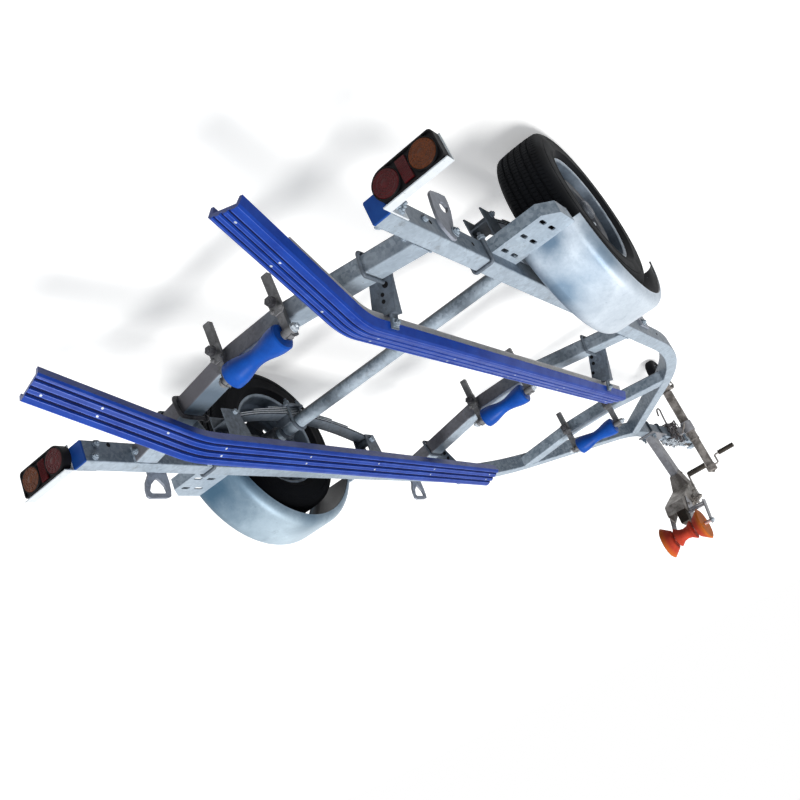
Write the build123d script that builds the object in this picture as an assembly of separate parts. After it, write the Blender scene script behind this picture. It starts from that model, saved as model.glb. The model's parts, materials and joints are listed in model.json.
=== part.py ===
from build123d import *
import math
import os

# All sizes are in millimetres. X points to the trailer's left, Y to its rear, Z up from the floor.
# Y is measured from the axle here, and every piece moves by SHIFT_Y when it is written.
SHIFT_Y = 959.0

# Running gear
AXLE_Z = 281.0
TYRE_RADIUS = 281.0
TYRE_INNER_X, TYRE_OUTER_X = 600.0, 768.0
RIM_FLANGE_RADIUS = 182.6
RIM_INNER_X, RIM_OUTER_X = 615.0, 753.0
DISC_X = 714.0
AXLE_TUBE_RADIUS = 25.0
SPINDLE_RADIUS = 15.0
RUNNING_GAP = 0.08

# Main frame of rectangular hollow section
RAIL_WIDTH, RAIL_HEIGHT, RAIL_WALL, RAIL_CORNER = 50.0, 65.0, 3.0, 5.0
RAIL_X, RAIL_TOP, RAIL_REAR_Y, CAP_FLANGE = 534.0, 477.0, 946.0, 5.0
RAIL_BEND_Y, RAIL_BEND_RADIUS = -1255.0, 1000.0
APEX_Y, APEX_RADIUS = -2018.0, 375.0
DRAWBAR_FRONT_Y = -2960.0
CROSS_DEPTH, CROSS_HEIGHT, CROSS_FLAT, CROSS_BEND_RADIUS = 75.0, 50.0, 90.0, 200.0

# name, centre y, top at the middle, end of the centreline
CROSSMEMBERS = [
    ("rear", 750.0, 415.0, 520.0),
    ("middle", -615.0, 411.0, 520.0),
    ("front", -1457.0, 451.0, 390.0),
]

# name, y, z, foot of the stems
KEEL_ROLLERS = [
    ("rear", 800.5, 459.0, 282.0),
    ("middle", -564.5, 462.0, 280.0),
    ("front", -1406.5, 535.0, 348.0),
]
KEEL_HALF_LENGTH, KEEL_END_LENGTH, KEEL_END_RADIUS, KEEL_WAIST_RADIUS = 95.0, 14.0, 37.0, 23.5
KEEL_SHAFT_RADIUS, STEM_X, STEM_WIDTH, STEM_DEPTH = 8.0, 112.0, 22.0, 16.0

# Leaf springs, in their own plane: the arc's lowest top point is over the axle
SPRING_WIDTH, LEAF, SPRING_TOP_Z, SPRING_RADIUS = 50.0, 7.0, 250.0, 1276.0
LEAF_ENDS = [(-400.0, 340.0), (-300.0, 285.0), (-215.0, 210.0), (-130.0, 130.0)]
EYE_Y, EYE_Z, EYE_BOLT_RADIUS = -413.0, 325.0, 8.0

# Mudguards, step plates and lamps
GUARD_INNER_X, GUARD_OUTER_X, GUARD_RADIUS, GUARD_LIP_RADIUS = 580.0, 775.0, 355.0, 325.0
GUARD_SHOULDER, GUARD_SHEET, GUARD_ARC = 36.0, 2.5, 130.0
STEP_TOP, STEP_SHEET, STEP_REAR_Y, STEP_OUTER_X = 441.5, 4.0, 457.0, 757.0
LAMP_X, LAMP_Z, LAMP_FACE_Y, LAMP_WIDTH, LAMP_HEIGHT = 643.0, 431.0, 976.0, 180.0, 80.0
LAMP_PLATE_Y, LAMP_ROOF, LENS_RADIUS, AMBER_X, RED_X, STRIP_X = 948.0, 476.0, 31.0, 692.0, 590.0, 641.0

# Bunks: top of the skid over the axle, and its attitude in degrees
BUNK_X, BUNK_Z, BUNK_TILT, BUNK_TOE, BUNK_PITCH = 290.0, 587.0, 20.1, 0.8, 0.96
BUNK_FRONT_Y, BUNK_VERTEX_Y, BUNK_DROOP, BUNK_RADIUS = -846.0, 797.0, 24.1, 235.0
SKID_REAR, CHANNEL_REAR = 450.0, 290.0
SKID_HALF, SKID_DEPTH, SKID_PLATE, SKID_LIP = 44.5, 33.9, 14.0, 8.0
CHANNEL_WIDTH, CHANNEL_DEPTH, CHANNEL_SHEET = 57.0, 43.0, 3.0

# Winch post, winch and bow roller
POST_Y, POST_TOP_Y, POST_TOP_Z, POST_WIDTH, POST_DEPTH = -2238.0, -2330.0, 745.0, 40.0, 80.0
STRAP_YS = (-2215.0, -2390.0)
BOW_Y, BOW_Z, BOW_HALF_LENGTH, BOW_END_RADIUS, BOW_STEP_RADIUS = -1913.0, 1037.0, 105.0, 75.0, 46.0
BOW_PIN_RADIUS, BOW_STAY_X = 8.0, 137.0
HEAD_HALF, HEAD_SHEET, DRUM_Y, DRUM_Z = 50.0, 4.0, -2190.0, 878.0

# Jack
JACK_X, JACK_Y, JACK_TOP, JACK_COLLAR, JACK_TUBE_FOOT = 100.0, -2700.0, 690.0, 530.0, 216.0
JACK_RADIUS, JACK_LEG_RADIUS, JACK_LEG_TOP, JACK_CAP_RADIUS = 23.5, 19.0, 520.0, 28.0
JOCKEY_RADIUS, JOCKEY_HALF, JOCKEY_SEAT, JOCKEY_FORK_X = 98.0, 26.0, 62.0, 35.0

# Coupling: the socket takes a 50 mm ball
BALL_Y, BALL_Z, BALL_RADIUS, COUPLING_NOSE_Y = -3084.0, 405.0, 25.5, -3123.7


def block(x, y, z):
    """Block between two values along each axis."""
    centre = Pos(sum(x) / 2, sum(y) / 2, sum(z) / 2)
    return centre * Box(abs(x[1] - x[0]), abs(y[1] - y[0]), abs(z[1] - z[0]))


def rod(start, end, radius):
    """Round bar between two points."""
    run = Vector(*end) - Vector(*start)
    turned = Plane(origin=start, z_dir=run)
    return turned * Cylinder(radius, run.length, align=(Align.CENTER, Align.CENTER, Align.MIN))


def across(x, y, z, radius):
    """Round bar along X between two values of x."""
    return rod((x[0], y, z), (x[1], y, z), radius)


def along(path, section, x_dir):
    """Section swept along a path, with its own X along x_dir."""
    return sweep(Plane(origin=path @ 0, x_dir=x_dir, z_dir=path % 0) * section, path)


def hollow(width, height, wall, corner):
    """Rectangular hollow section."""
    bore = RectangleRounded(width - 2 * wall, height - 2 * wall, corner - wall)
    return RectangleRounded(width, height, corner) - bore


def side_plate(points, x):
    """Plate outlined by (y, z) points, between two values of x."""
    outline = Plane.YZ.offset(min(x)) * make_face(Polyline(*points, close=True))
    return extrude(outline, abs(x[1] - x[0]))


def ring_sector(inner, outer, first, last, x):
    """Part of a ring about the X axis, angles in degrees from +Y towards +Z."""
    arcs = [CenterArc((0, 0), radius, first, last - first) for radius in (outer, inner)]
    ends = [Line(arcs[0] @ t, arcs[1] @ t) for t in (0, 1)]
    return extrude(Plane.YZ.offset(min(x)) * make_face([*arcs, *ends]), abs(x[1] - x[0]))


def turned_on_x(profile):
    """Solid of revolution about the X axis from (x, radius) points."""
    face = make_face(Polyline(*profile, close=True))
    return revolve(Plane.XZ * face, axis=Axis.X)


def both(shape):
    """The piece and its mirror image on the trailer's right."""
    return shape + mirror(shape, about=Plane.YZ)


def u_bolt(points, corner, radius):
    """Bent round bar through points."""
    path = FilletPolyline(*points, radius=corner)
    return sweep(Plane(origin=path @ 0, z_dir=path % 0) * Circle(radius), path)


def strap_bolt(x, y, z, seat, radius=5.0):
    """U-bolt at one y: legs at two values of x from its closed end z[0] to z[1], nuts standing on seat."""
    corner = radius + RAIL_CORNER
    bar = u_bolt([(x[0], y, z[1]), (x[0], y, z[0]), (x[1], y, z[0]), (x[1], y, z[1])], corner, radius)
    for leg in x:
        bar += rod((leg, y, seat), (leg, y, seat + math.copysign(8, z[1] - z[0])), radius * 1.8)
    return bar


# Side rails, of which the right one runs on as the drawbar
def rail_paths():
    z = RAIL_TOP - RAIL_HEIGHT / 2
    run = Vector(-RAIL_X, APEX_Y - RAIL_BEND_Y).normalized() * 45
    left = FilletPolyline(
        (RAIL_X, RAIL_REAR_Y, z),
        (RAIL_X, RAIL_BEND_Y, z),
        (run.X, APEX_Y + run.Y, z),
        radius=RAIL_BEND_RADIUS,
    )
    right = FilletPolyline(
        (-RAIL_X, RAIL_REAR_Y, z),
        (-RAIL_X, RAIL_BEND_Y, z),
        (0, APEX_Y, z),
        (0, DRAWBAR_FRONT_Y, z),
        radius=[RAIL_BEND_RADIUS, APEX_RADIUS],
    )
    return left, right


left_path, right_path = rail_paths()
rail_section = hollow(RAIL_WIDTH, RAIL_HEIGHT, RAIL_WALL, RAIL_CORNER)
rail_outline = Rectangle(RAIL_WIDTH, RAIL_HEIGHT)
rail_room = [along(path, rail_outline, (1, 0, 0)) for path in (left_path, right_path)]
rail_left = (along(left_path, rail_section, (1, 0, 0)) - rail_room[1]).solids().sort_by(SortBy.VOLUME)[-1]
rail_right = along(right_path, rail_section, (1, 0, 0))


def crossmember(y, top, end):
    """Shallow V of hollow section between the rails."""
    z_end, z_mid = RAIL_TOP - CROSS_HEIGHT / 2, top - CROSS_HEIGHT / 2
    path = FilletPolyline(
        (-end, y, z_end),
        (-CROSS_FLAT, y, z_mid),
        (CROSS_FLAT, y, z_mid),
        (end, y, z_end),
        radius=CROSS_BEND_RADIUS,
    )
    section = hollow(CROSS_DEPTH, CROSS_HEIGHT, RAIL_WALL, RAIL_CORNER)
    return along(path, section, (0, 1, 0)) - rail_room[0] - rail_room[1]


def keel_carrier(y, z, foot):
    """Shaft between two stems that clamp to a cross-member's rear face."""
    made = across((-STEM_X, STEM_X), y, z, KEEL_SHAFT_RADIUS)
    half, face = STEM_WIDTH / 2, y - 13
    for side in (-1, 1):
        x = side * STEM_X
        made += block((x - half, x + half), (face, face + STEM_DEPTH), (foot, z + 14))
        made += across((side * (KEEL_HALF_LENGTH + 2), x + side * (half + 8)), y, z, KEEL_SHAFT_RADIUS + 4)
    return made


def keel_roller(y, z):
    """Rubber roller with a smooth waist between two plain ends."""
    bore = KEEL_SHAFT_RADIUS + RUNNING_GAP
    half, end = KEEL_HALF_LENGTH, KEEL_END_RADIUS
    neck = half - KEEL_END_LENGTH
    flank = []
    for step in range(7):
        rise = (1 + math.cos(math.pi * step / 6)) / 2
        flank.append((neck * (1 - step / 6), KEEL_WAIST_RADIUS + (end - KEEL_WAIST_RADIUS) * rise))
    right = [(half, bore), (half, end - 4), (half - 4, end), *flank]
    left = [(-x, radius) for x, radius in reversed(right[:-1])]
    return Pos(0, y, z) * turned_on_x(right + left)


# Axle, springs and their hangers
def axle_beam():
    tube = across((-594, 594), 0, AXLE_Z, AXLE_TUBE_RADIUS)
    return tube + across((-728, 728), 0, AXLE_Z, SPINDLE_RADIUS)


def leaf_spring():
    """Stack of leaves under the axle, with an eye at the front."""
    side = (RAIL_X - SPRING_WIDTH / 2, RAIL_X + SPRING_WIDTH / 2)
    stack = None
    for row, ends in enumerate(LEAF_ENDS):
        inner = SPRING_RADIUS + LEAF * row
        first, last = (270 + math.degrees(math.asin(y / inner)) for y in ends)
        leaf = ring_sector(inner, inner + LEAF, first, last, side)
        stack = leaf if stack is None else stack + leaf
    stack = Pos(0, 0, SPRING_TOP_Z + SPRING_RADIUS) * stack
    eye = across(side, EYE_Y, EYE_Z, EYE_BOLT_RADIUS + 9)
    return stack + eye - across(side, EYE_Y, EYE_Z, EYE_BOLT_RADIUS)


def axle_clamp():
    """Saddle on the spring, plate under it and two U-bolts over the axle."""
    x = (RAIL_X - 42, RAIL_X + 42)
    pack = SPRING_TOP_Z - LEAF * len(LEAF_ENDS)
    made = block((RAIL_X - 25, RAIL_X + 25), (-40, 40), (SPRING_TOP_Z + 0.8, AXLE_Z))
    made -= across(x, 0, AXLE_Z, AXLE_TUBE_RADIUS)
    plate = block(x, (-46, 46), (pack - 9.5, pack - 1.5))
    for offset in (-32, 32):
        x0 = RAIL_X + offset
        reach = AXLE_TUBE_RADIUS + 5
        arch = ring_sector(reach - 5, reach + 5, 0, 180, (x0 - 5, x0 + 5))
        plate += Pos(0, 0, AXLE_Z) * arch
        for y in (-reach, reach):
            plate += rod((x0, y, pack - 30), (x0, y, AXLE_Z), 5)
            plate += rod((x0, y, pack - 20), (x0, y, pack - 9.5), 9)
    return made + plate


def spring_hangers():
    """Front eye hanger and rear slipper box under one rail."""
    x = (RAIL_X - 31, RAIL_X + 31)
    inside = (RAIL_X - 26, RAIL_X + 26)
    top = RAIL_TOP - RAIL_HEIGHT
    front = side_plate([(-455, top), (-371, top), (-385, 305), (-441, 305)], x)
    front -= block(inside, (-470, -360), (290, top - 6))
    front += across(x, EYE_Y, EYE_Z, EYE_BOLT_RADIUS)
    rear = side_plate([(262, top), (372, top), (372, 262), (300, 262)], x)
    rear -= block(inside, (250, 380), (250, top - 6))
    rear += block(inside, (300, 372), (304, 310))
    rear += across(x, 318, 272, 6)
    return front + rear


# Wheels, drawn on the left
def tyre():
    low, high = TYRE_INNER_X, TYRE_OUTER_X
    bead, crown = RIM_FLANGE_RADIUS - 8, TYRE_RADIUS
    profile = [
        (low + 20, bead), (low + 20, RIM_FLANGE_RADIUS + 0.4), (low + 14, RIM_FLANGE_RADIUS + 0.6),
        (low, 218), (low + 3, 250),
        (low + 13, 272), (low + 30, 279), (low + 60, crown), (high - 60, crown), (high - 30, 279),
        (high - 13, 272), (high - 3, 250), (high, 218), (high - 14, RIM_FLANGE_RADIUS + 0.6),
        (high - 20, RIM_FLANGE_RADIUS + 0.4), (high - 20, bead), (high - 32, bead), (high - 16, 205),
        (high - 12, 240), (high - 30, 264),
        (low + 30, 264), (low + 12, 240), (low + 16, 205), (low + 32, bead),
    ]
    return Pos(0, 0, AXLE_Z) * turned_on_x(profile)


def rim():
    """Barrel with two flanges and a dished disc."""
    low, high, flange = RIM_INNER_X, RIM_OUTER_X, RIM_FLANGE_RADIUS
    seat = flange - 8
    profile = [
        (low, flange), (low, flange - 4), (low + 4, seat - 4), (low + 50, seat - 5),
        (low + 60, seat - 18), (high - 52, seat - 18), (high - 44, seat - 5), (high - 4, seat - 4),
        (high, flange - 4), (high, flange), (high - 3, flange), (high - 5, seat),
        (high - 46, seat), (high - 54, seat - 13), (low + 62, seat - 13), (low + 52, seat),
        (low + 5, seat), (low + 3, flange),
    ]
    disc = [
        (DISC_X, 32), (DISC_X, 70), (DISC_X + 14, 92), (DISC_X + 16, 118), (DISC_X - 4, 140),
        (DISC_X - 10, seat - 8), (DISC_X - 6, seat - 8), (DISC_X, 142), (DISC_X + 20, 120),
        (DISC_X + 18, 90), (DISC_X + 4, 68), (DISC_X + 4, 32),
    ]
    made = turned_on_x(profile) + turned_on_x(disc)
    for turn in range(0, 360, 90):
        made -= Rot(X=turn + 45) * across((DISC_X - 1, DISC_X + 22), 0, 50, 7)
    for turn in range(0, 360, 45):
        slot = Rot(X=turn) * Pos(DISC_X, 0, 130) * Rot(Y=90) * SlotOverall(24, 12, rotation=90)
        made -= extrude(slot, 40, both=True)
    return Pos(0, 0, AXLE_Z) * made


def hub():
    """Hub barrel, wheel flange, studs and dust cap on the spindle."""
    bore = SPINDLE_RADIUS + RUNNING_GAP
    profile = [
        (600.5, bore), (600.5, 34), (640, 38), (704, 38), (704, 64), (DISC_X, 64), (DISC_X, 31),
        (748, 29), (752, 24), (752, 0), (732, 0), (732, bore),
    ]
    made = turned_on_x(profile)
    for turn in range(0, 360, 90):
        made += Rot(X=turn + 45) * across((DISC_X, DISC_X + 18), 0, 50, 7)
        made += Rot(X=turn + 45) * across((DISC_X + 4, DISC_X + 16), 0, 50, 10)
    return Pos(0, 0, AXLE_Z) * made


# Mudguards and what carries them
def mudguard():
    """Rolled guard with two skirts, bent about the axle."""
    width = GUARD_OUTER_X - GUARD_INNER_X
    middle = (GUARD_OUTER_X + GUARD_INNER_X) / 2
    tall = 2 * (GUARD_SHOULDER + 10)
    sheet = Pos(middle, GUARD_RADIUS - tall / 2) * RectangleRounded(width, tall, GUARD_SHOULDER)
    bore = RectangleRounded(width - 2 * GUARD_SHEET, tall - 2 * GUARD_SHEET, GUARD_SHOULDER - GUARD_SHEET)
    sheet -= Pos(middle, GUARD_RADIUS - tall / 2) * bore
    sheet -= Pos(middle, GUARD_LIP_RADIUS - 50) * Rectangle(width + 20, 100)
    for x in (GUARD_INNER_X + 3, GUARD_OUTER_X - 3):
        sheet += Pos(x, GUARD_LIP_RADIUS) * Circle(3)
    swept = revolve(Plane.XZ * sheet, axis=Axis.X, revolution_arc=GUARD_ARC)
    return Pos(0, 0, AXLE_Z) * Rot(X=-GUARD_ARC / 2) * swept


def guard_arms():
    """Rear step plate with three pairs of slots, and the small front arm."""
    inner = RAIL_X + RAIL_WIDTH / 2
    room = across((inner, GUARD_OUTER_X + 5), 0, AXLE_Z, GUARD_RADIUS)
    outline = [(inner, 300), (inner, STEP_REAR_Y), (719, STEP_REAR_Y), (STEP_OUTER_X, 409), (STEP_OUTER_X, 300)]
    t = STEP_SHEET
    hollowed = [(inner - 1, 290), (inner - 1, STEP_REAR_Y - t), (717, STEP_REAR_Y - t),
                (STEP_OUTER_X - t, 407.5), (STEP_OUTER_X - t, 290)]
    base = Plane.XY.offset(STEP_TOP - 38)
    step = extrude(base * make_face(Polyline(*outline, close=True)), 38)
    step -= extrude(base * make_face(Polyline(*hollowed, close=True)), 38 - t)
    for x in (582, 645, 706):
        for y in (366, 421):
            step -= Pos(x, y, STEP_TOP) * extrude(SlotOverall(34, 12, rotation=90), 20, both=True)
    arm = block((inner, 700), (-372, -300), (STEP_TOP - 6, STEP_TOP))
    arm -= Pos(inner + 22, -345, STEP_TOP) * Cylinder(6, 30)
    return step - room + (arm - room)


# Lamps at the rails' rear ends
def lamp_bracket():
    """Plate behind the lamp, roof over it and a tab on the rail's side."""
    inner, outer = RAIL_X + RAIL_WIDTH / 2, LAMP_X + LAMP_WIDTH / 2 + 4
    made = block((inner, outer), (LAMP_PLATE_Y, LAMP_FACE_Y), (LAMP_ROOF - 3, LAMP_ROOF))
    made += block((inner, outer), (LAMP_PLATE_Y, LAMP_PLATE_Y + 3), (400, LAMP_ROOF))
    return made + block((inner, inner + 4), (880, LAMP_PLATE_Y + 3), (424, LAMP_ROOF))


def lamp_outline(margin):
    """Lamp's outline facing the rear: round at the rail, square at the outer end."""
    width, height = LAMP_WIDTH - 2 * margin, LAMP_HEIGHT - 2 * margin
    outer = Pos(width / 2 - 50 + margin, 0) * RectangleRounded(100 - 2 * margin, height, 12 - margin)
    return Plane.XZ * (Pos(LAMP_X, LAMP_Z) * (RectangleRounded(width, height, height / 2 - 2) + outer))


def lamp_housing():
    """Box with a shallow tray in its face for the lenses."""
    body = Pos(0, LAMP_FACE_Y, 0) * extrude(lamp_outline(0), LAMP_FACE_Y - LAMP_PLATE_Y - 3)
    return body - Pos(0, LAMP_FACE_Y, 0) * extrude(lamp_outline(4), 5)


def round_lens(x):
    """Domed round lens in the tray."""
    foot, face = LAMP_FACE_Y - 5, LAMP_FACE_Y + 3
    lens = rod((x, foot, LAMP_Z), (x, face, LAMP_Z), LENS_RADIUS)
    return chamfer(lens.edges().filter_by(GeomType.CIRCLE).sort_by(Axis.Y)[-1], 3)


def strip_lens():
    return block((STRIP_X - 14, STRIP_X + 14), (LAMP_FACE_Y - 5, LAMP_FACE_Y + 1), (LAMP_Z - 30, LAMP_Z + 30))


def end_cap():
    y = RAIL_REAR_Y
    plane = Plane(origin=(RAIL_X, y, RAIL_TOP - RAIL_HEIGHT / 2), x_dir=(-1, 0, 0), z_dir=(0, 1, 0))
    cap = extrude(plane * RectangleRounded(RAIL_WIDTH, RAIL_HEIGHT, RAIL_CORNER), CAP_FLANGE)
    inner = RectangleRounded(RAIL_WIDTH - 2 * RAIL_WALL, RAIL_HEIGHT - 2 * RAIL_WALL, RAIL_CORNER - RAIL_WALL)
    return fillet(cap.faces().sort_by(Axis.Y)[-1].edges(), 2) + extrude(plane * inner, -25)


# Tie-down lugs on the rails' outer faces: side, outline (y, z), hole (y, z)
HANGING = [(618, 441), (702, 441), (702, 400), (684, 345), (640, 345), (618, 380)]
STANDING = [(-46, 436), (30, 436), (34, 477), (47, 540), (40, 553), (-36, 555), (-43, 546), (-52, 477)]
LUGS = [
    (1, [(648, 441), (714, 441), (711, 385), (686, 328), (640, 314), (602, 316), (623, 370)], (656, 368)),
    (-1, [(y + 684, z) for y, z in STANDING], None),
    (-1, [(y - 697, z) for y, z in STANDING], None),
    (1, [(y - 1418, z) for y, z in HANGING], (-758, 372)),
]


def lugs():
    """Plates with a round hole where they hang and a three-cornered one where they stand."""
    made = None
    inner = RAIL_X + RAIL_WIDTH / 2
    for side, outline, hole in LUGS:
        plate = side_plate(outline, (inner, inner + 8))
        if hole:
            plate -= across((inner - 5, inner + 20), *hole, 15)
        else:
            middle = outline[0][0] + 46
            window = make_face(Polyline((middle - 27, 540), (middle + 29, 540), (middle - 12, 490), close=True))
            window = fillet(window.vertices(), 7)
            plate -= Pos(inner - 5, 0, 0) * extrude(Plane.YZ * window, 20)
        plate = plate if side > 0 else mirror(plate, about=Plane.YZ)
        made = plate if made is None else made + plate
    return made


# Bunks, drawn on the left in their own frame and then laid on the brackets
BUNK_PLACE = Pos(BUNK_X, 0, BUNK_Z) * Rot(-BUNK_PITCH, 0, BUNK_TOE)
SKID_SECTION = [
    (-44, 6), (-38, 1.5), (-32, 0.5), (-30, 3.5), (-25, 3.5), (-23, 0.5), (-10, 0), (-8, 4), (-2, 4),
    (0, 0), (11, 0), (13, 4), (19, 4), (21, 0.5), (33, 1), (40, 4), (43.5, 10),
    (SKID_HALF, SKID_DEPTH), (SKID_HALF - SKID_LIP, SKID_DEPTH), (SKID_HALF - SKID_LIP - 3, SKID_PLATE),
    (-SKID_HALF + SKID_LIP + 3, SKID_PLATE), (-SKID_HALF + SKID_LIP, SKID_DEPTH), (-SKID_HALF, SKID_DEPTH),
]


def bunk_sweep(section, front, rear):
    """Section, its y measured down from the skid's top, swept from the front to the drooping tail."""
    droop, tilt = math.radians(BUNK_DROOP), math.radians(BUNK_TILT)
    down = rear * math.sin(droop)
    tail = (down * math.sin(tilt), BUNK_VERTEX_Y + rear * math.cos(droop), -down * math.cos(tilt))
    path = FilletPolyline((0, front, 0), (0, BUNK_VERTEX_Y, 0), tail, radius=BUNK_RADIUS)
    return BUNK_PLACE * along(path, section, (math.cos(tilt), 0, math.sin(tilt)))


def bunk_skid():
    return bunk_sweep(make_face(Polyline(*SKID_SECTION, close=True)), BUNK_FRONT_Y, SKID_REAR)


def channel_outline():
    return Pos(0, SKID_PLATE + CHANNEL_DEPTH / 2) * Rectangle(CHANNEL_WIDTH, CHANNEL_DEPTH)


def bunk_channel():
    bore = Rectangle(CHANNEL_WIDTH - 2 * CHANNEL_SHEET, CHANNEL_DEPTH)
    section = channel_outline() - Pos(0, SKID_PLATE + CHANNEL_SHEET + CHANNEL_DEPTH / 2) * bore
    return bunk_sweep(section, BUNK_FRONT_Y + 10, CHANNEL_REAR)


def bunk_bracket(y, depth, strap):
    """Channel on a cross-member's front face up to the bunk, with its clip and U-bolt.

    y is the cross-member's, depth is the foot below the skid's top, and strap is the U-bolt's x, z and drop.
    """
    face = y - CROSS_DEPTH / 2
    tilt = math.radians(BUNK_TILT)
    room = bunk_sweep(Pos(0, 24) * Rectangle(2 * SKID_HALF, 48), BUNK_FRONT_Y, SKID_REAR)
    room += bunk_sweep(channel_outline(), BUNK_FRONT_Y, SKID_REAR)
    place = Plane(
        origin=(BUNK_X - face * math.sin(math.radians(BUNK_TOE)), face,
                BUNK_Z - face * math.sin(math.radians(BUNK_PITCH))),
        x_dir=(math.cos(tilt), 0, math.sin(tilt)),
        z_dir=(0, 1, 0),
    )
    seat = SKID_PLATE + CHANNEL_DEPTH
    made = block((-4, 64), (seat - 3, depth), (-5, 0)) + block((-24, 64), (seat - 3, seat + 5), (-30, 0))
    made += side_plate([(seat - 3, -30), (seat - 3, 0), (depth, 0), (depth, -6), (depth - 40, -8)], (59, 64))
    made += block((SKID_HALF + 1, SKID_HALF + 6), (16, seat + 5), (-30, 0))
    made = place * made - room
    x, z, drop = strap
    slope = drop * 0.14
    nearest, farthest = face - 16, face + CROSS_DEPTH + 6
    bar = u_bolt([(x, nearest, z), (x, farthest, z), (x + slope, farthest, z - drop),
                  (x + slope, nearest, z - drop)], 9, 5)
    for turn in (0, 1):
        end = (x + slope * turn, face - 5, z - drop * turn)
        bar += rod((end[0], face - 13, end[2]), end, 9)
    made += bar
    return made.solids().sort_by(SortBy.VOLUME)[-1]


# Winch post, winch and bow roller
# Outline (y, z) of the head's sides, of which the first points run up the bent web
HEAD_SIDE = [
    (-2262, 790), (-1985, 876), (-1957, 925), (-2018, 962), (-2110, 925), (-2345, 868), (-2345, 770),
]
HEAD_WEB = [(-2266, 792), (-1988, 879), (-1961, 925), (-1957, 925), (-1985, 875), (-2263, 788)]


def winch_post():
    base = block((-42, 42), (-2415, -2165), (RAIL_TOP, RAIL_TOP + 6))
    foot, top = Vector(0, POST_Y, RAIL_TOP + 6), Vector(0, POST_TOP_Y, POST_TOP_Z)
    path = Line(foot - (top - foot) * 0.1, top)
    post = along(path, RectangleRounded(POST_WIDTH, POST_DEPTH, 4), (1, 0, 0))
    for y in STRAP_YS:
        base -= both(rod((RAIL_WIDTH / 2 + 5, y, RAIL_TOP - 5), (RAIL_WIDTH / 2 + 5, y, RAIL_TOP + 9), 5))
    return base + (post & block((-99, 99), (-2500, -2100), (RAIL_TOP + 6, 900)))


def head_neck(margin):
    """Flare from the post's end to the head, as one solid."""
    lower = Plane(origin=(0, -2304, 700), x_dir=(1, 0, 0), z_dir=(0, -0.34, 0.94))
    upper = Plane(origin=(0, -2304, 792), x_dir=(1, 0, 0), z_dir=(0, 0, 1))
    narrow = lower * Rectangle(POST_WIDTH + 2 * HEAD_SHEET - 2 * margin, 90 - 2 * margin)
    wide = upper * Rectangle(2 * HEAD_HALF - 2 * margin, 82 - 2 * margin)
    return loft([narrow, wide], ruled=True)


def winch_frame():
    """Channel that widens upward from the post, bends to the rear and carries the winch."""
    flare = head_neck(0) - head_neck(HEAD_SHEET) - block((-60, 60), (-2400, -2335), (600, 900))
    sides = both(side_plate(HEAD_SIDE, (HEAD_HALF - HEAD_SHEET, HEAD_HALF)))
    web = side_plate(HEAD_WEB, (-HEAD_HALF, HEAD_HALF))
    shaft = across((-HEAD_HALF - 6, HEAD_HALF + 24), DRUM_Y, DRUM_Z, 7)
    collar = across((HEAD_HALF, HEAD_HALF + 8), DRUM_Y, DRUM_Z, 22)
    path = Line((0, POST_Y, RAIL_TOP + 6), (0, POST_TOP_Y, POST_TOP_Z))
    room = along(path, RectangleRounded(POST_WIDTH, POST_DEPTH, 4), (1, 0, 0))
    return flare + sides + web + shaft + collar - room


def winch_drum():
    """Reel with the strap wound on it, between the head's sides."""
    profile = [(-34, 7), (-34, 40), (-30, 40), (-30, 31), (30, 31), (30, 40), (34, 40), (34, 7)]
    return Pos(0, DRUM_Y, DRUM_Z) * turned_on_x(profile)


def winch_handle():
    """Arm hanging from the shaft, with a grip to the trailer's left."""
    x = HEAD_HALF + 24
    made = side_plate([(-2201, 890), (-2179, 890), (-2226, 742), (-2244, 742)], (x, x + 5))
    return made + across((x + 5, x + 103), -2234, 752, 13)


def strap_guide():
    """Block on the web that leads the strap up to the bow roller."""
    return side_plate([(-2100, 844), (-2040, 862.8), (-2016, 975), (-2066, 985), (-2100, 950)], (-22, 22))


def bow_yoke():
    """Two arms beside the roller's hub, and a stay at its left end on a cross rod."""
    arm = [(-2100, 900), (-2050, 862), (-1897, 1030), (-1902, 1048), (-1920, 1053)]
    made = both(side_plate(arm, (HEAD_HALF, HEAD_HALF + 4)))
    made += across((HEAD_HALF, BOW_STAY_X), -1990, 938, 6) + across((HEAD_HALF, BOW_STAY_X), -1966, 952, 6)
    stay = [(-2004, 928), (-1960, 928), (-1896, 1037), (-1905, 1052), (-1926, 1050)]
    made += side_plate(stay, (BOW_STAY_X, BOW_STAY_X + 5))
    return made - across((-200, 200), BOW_Y, BOW_Z, BOW_PIN_RADIUS + RUNNING_GAP)


def bow_roller():
    """Two cones and a waisted hub turning with their pin, gaps between them for the arms."""
    half, end, step, pin = BOW_HALF_LENGTH, BOW_END_RADIUS, BOW_STEP_RADIUS, BOW_PIN_RADIUS
    slot = (HEAD_HALF - 5, HEAD_HALF + 9)
    flank = [
        (half, pin), (half, end - 6), (half - 5, end), (slot[1] + 2, step), (slot[1], step - 4), (slot[1], pin),
        (slot[0], pin), (slot[0], step - 3), (slot[0] - 3, step - 1), (20, 30),
    ]
    left = [(BOW_STAY_X + 8, 0), (BOW_STAY_X + 8, pin), *flank, (0, 26)]
    right = [(-x, radius) for x, radius in reversed(flank)] + [(-half - 5, pin), (-half - 5, 0)]
    return Pos(0, BOW_Y, BOW_Z) * turned_on_x(left + right)


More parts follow.
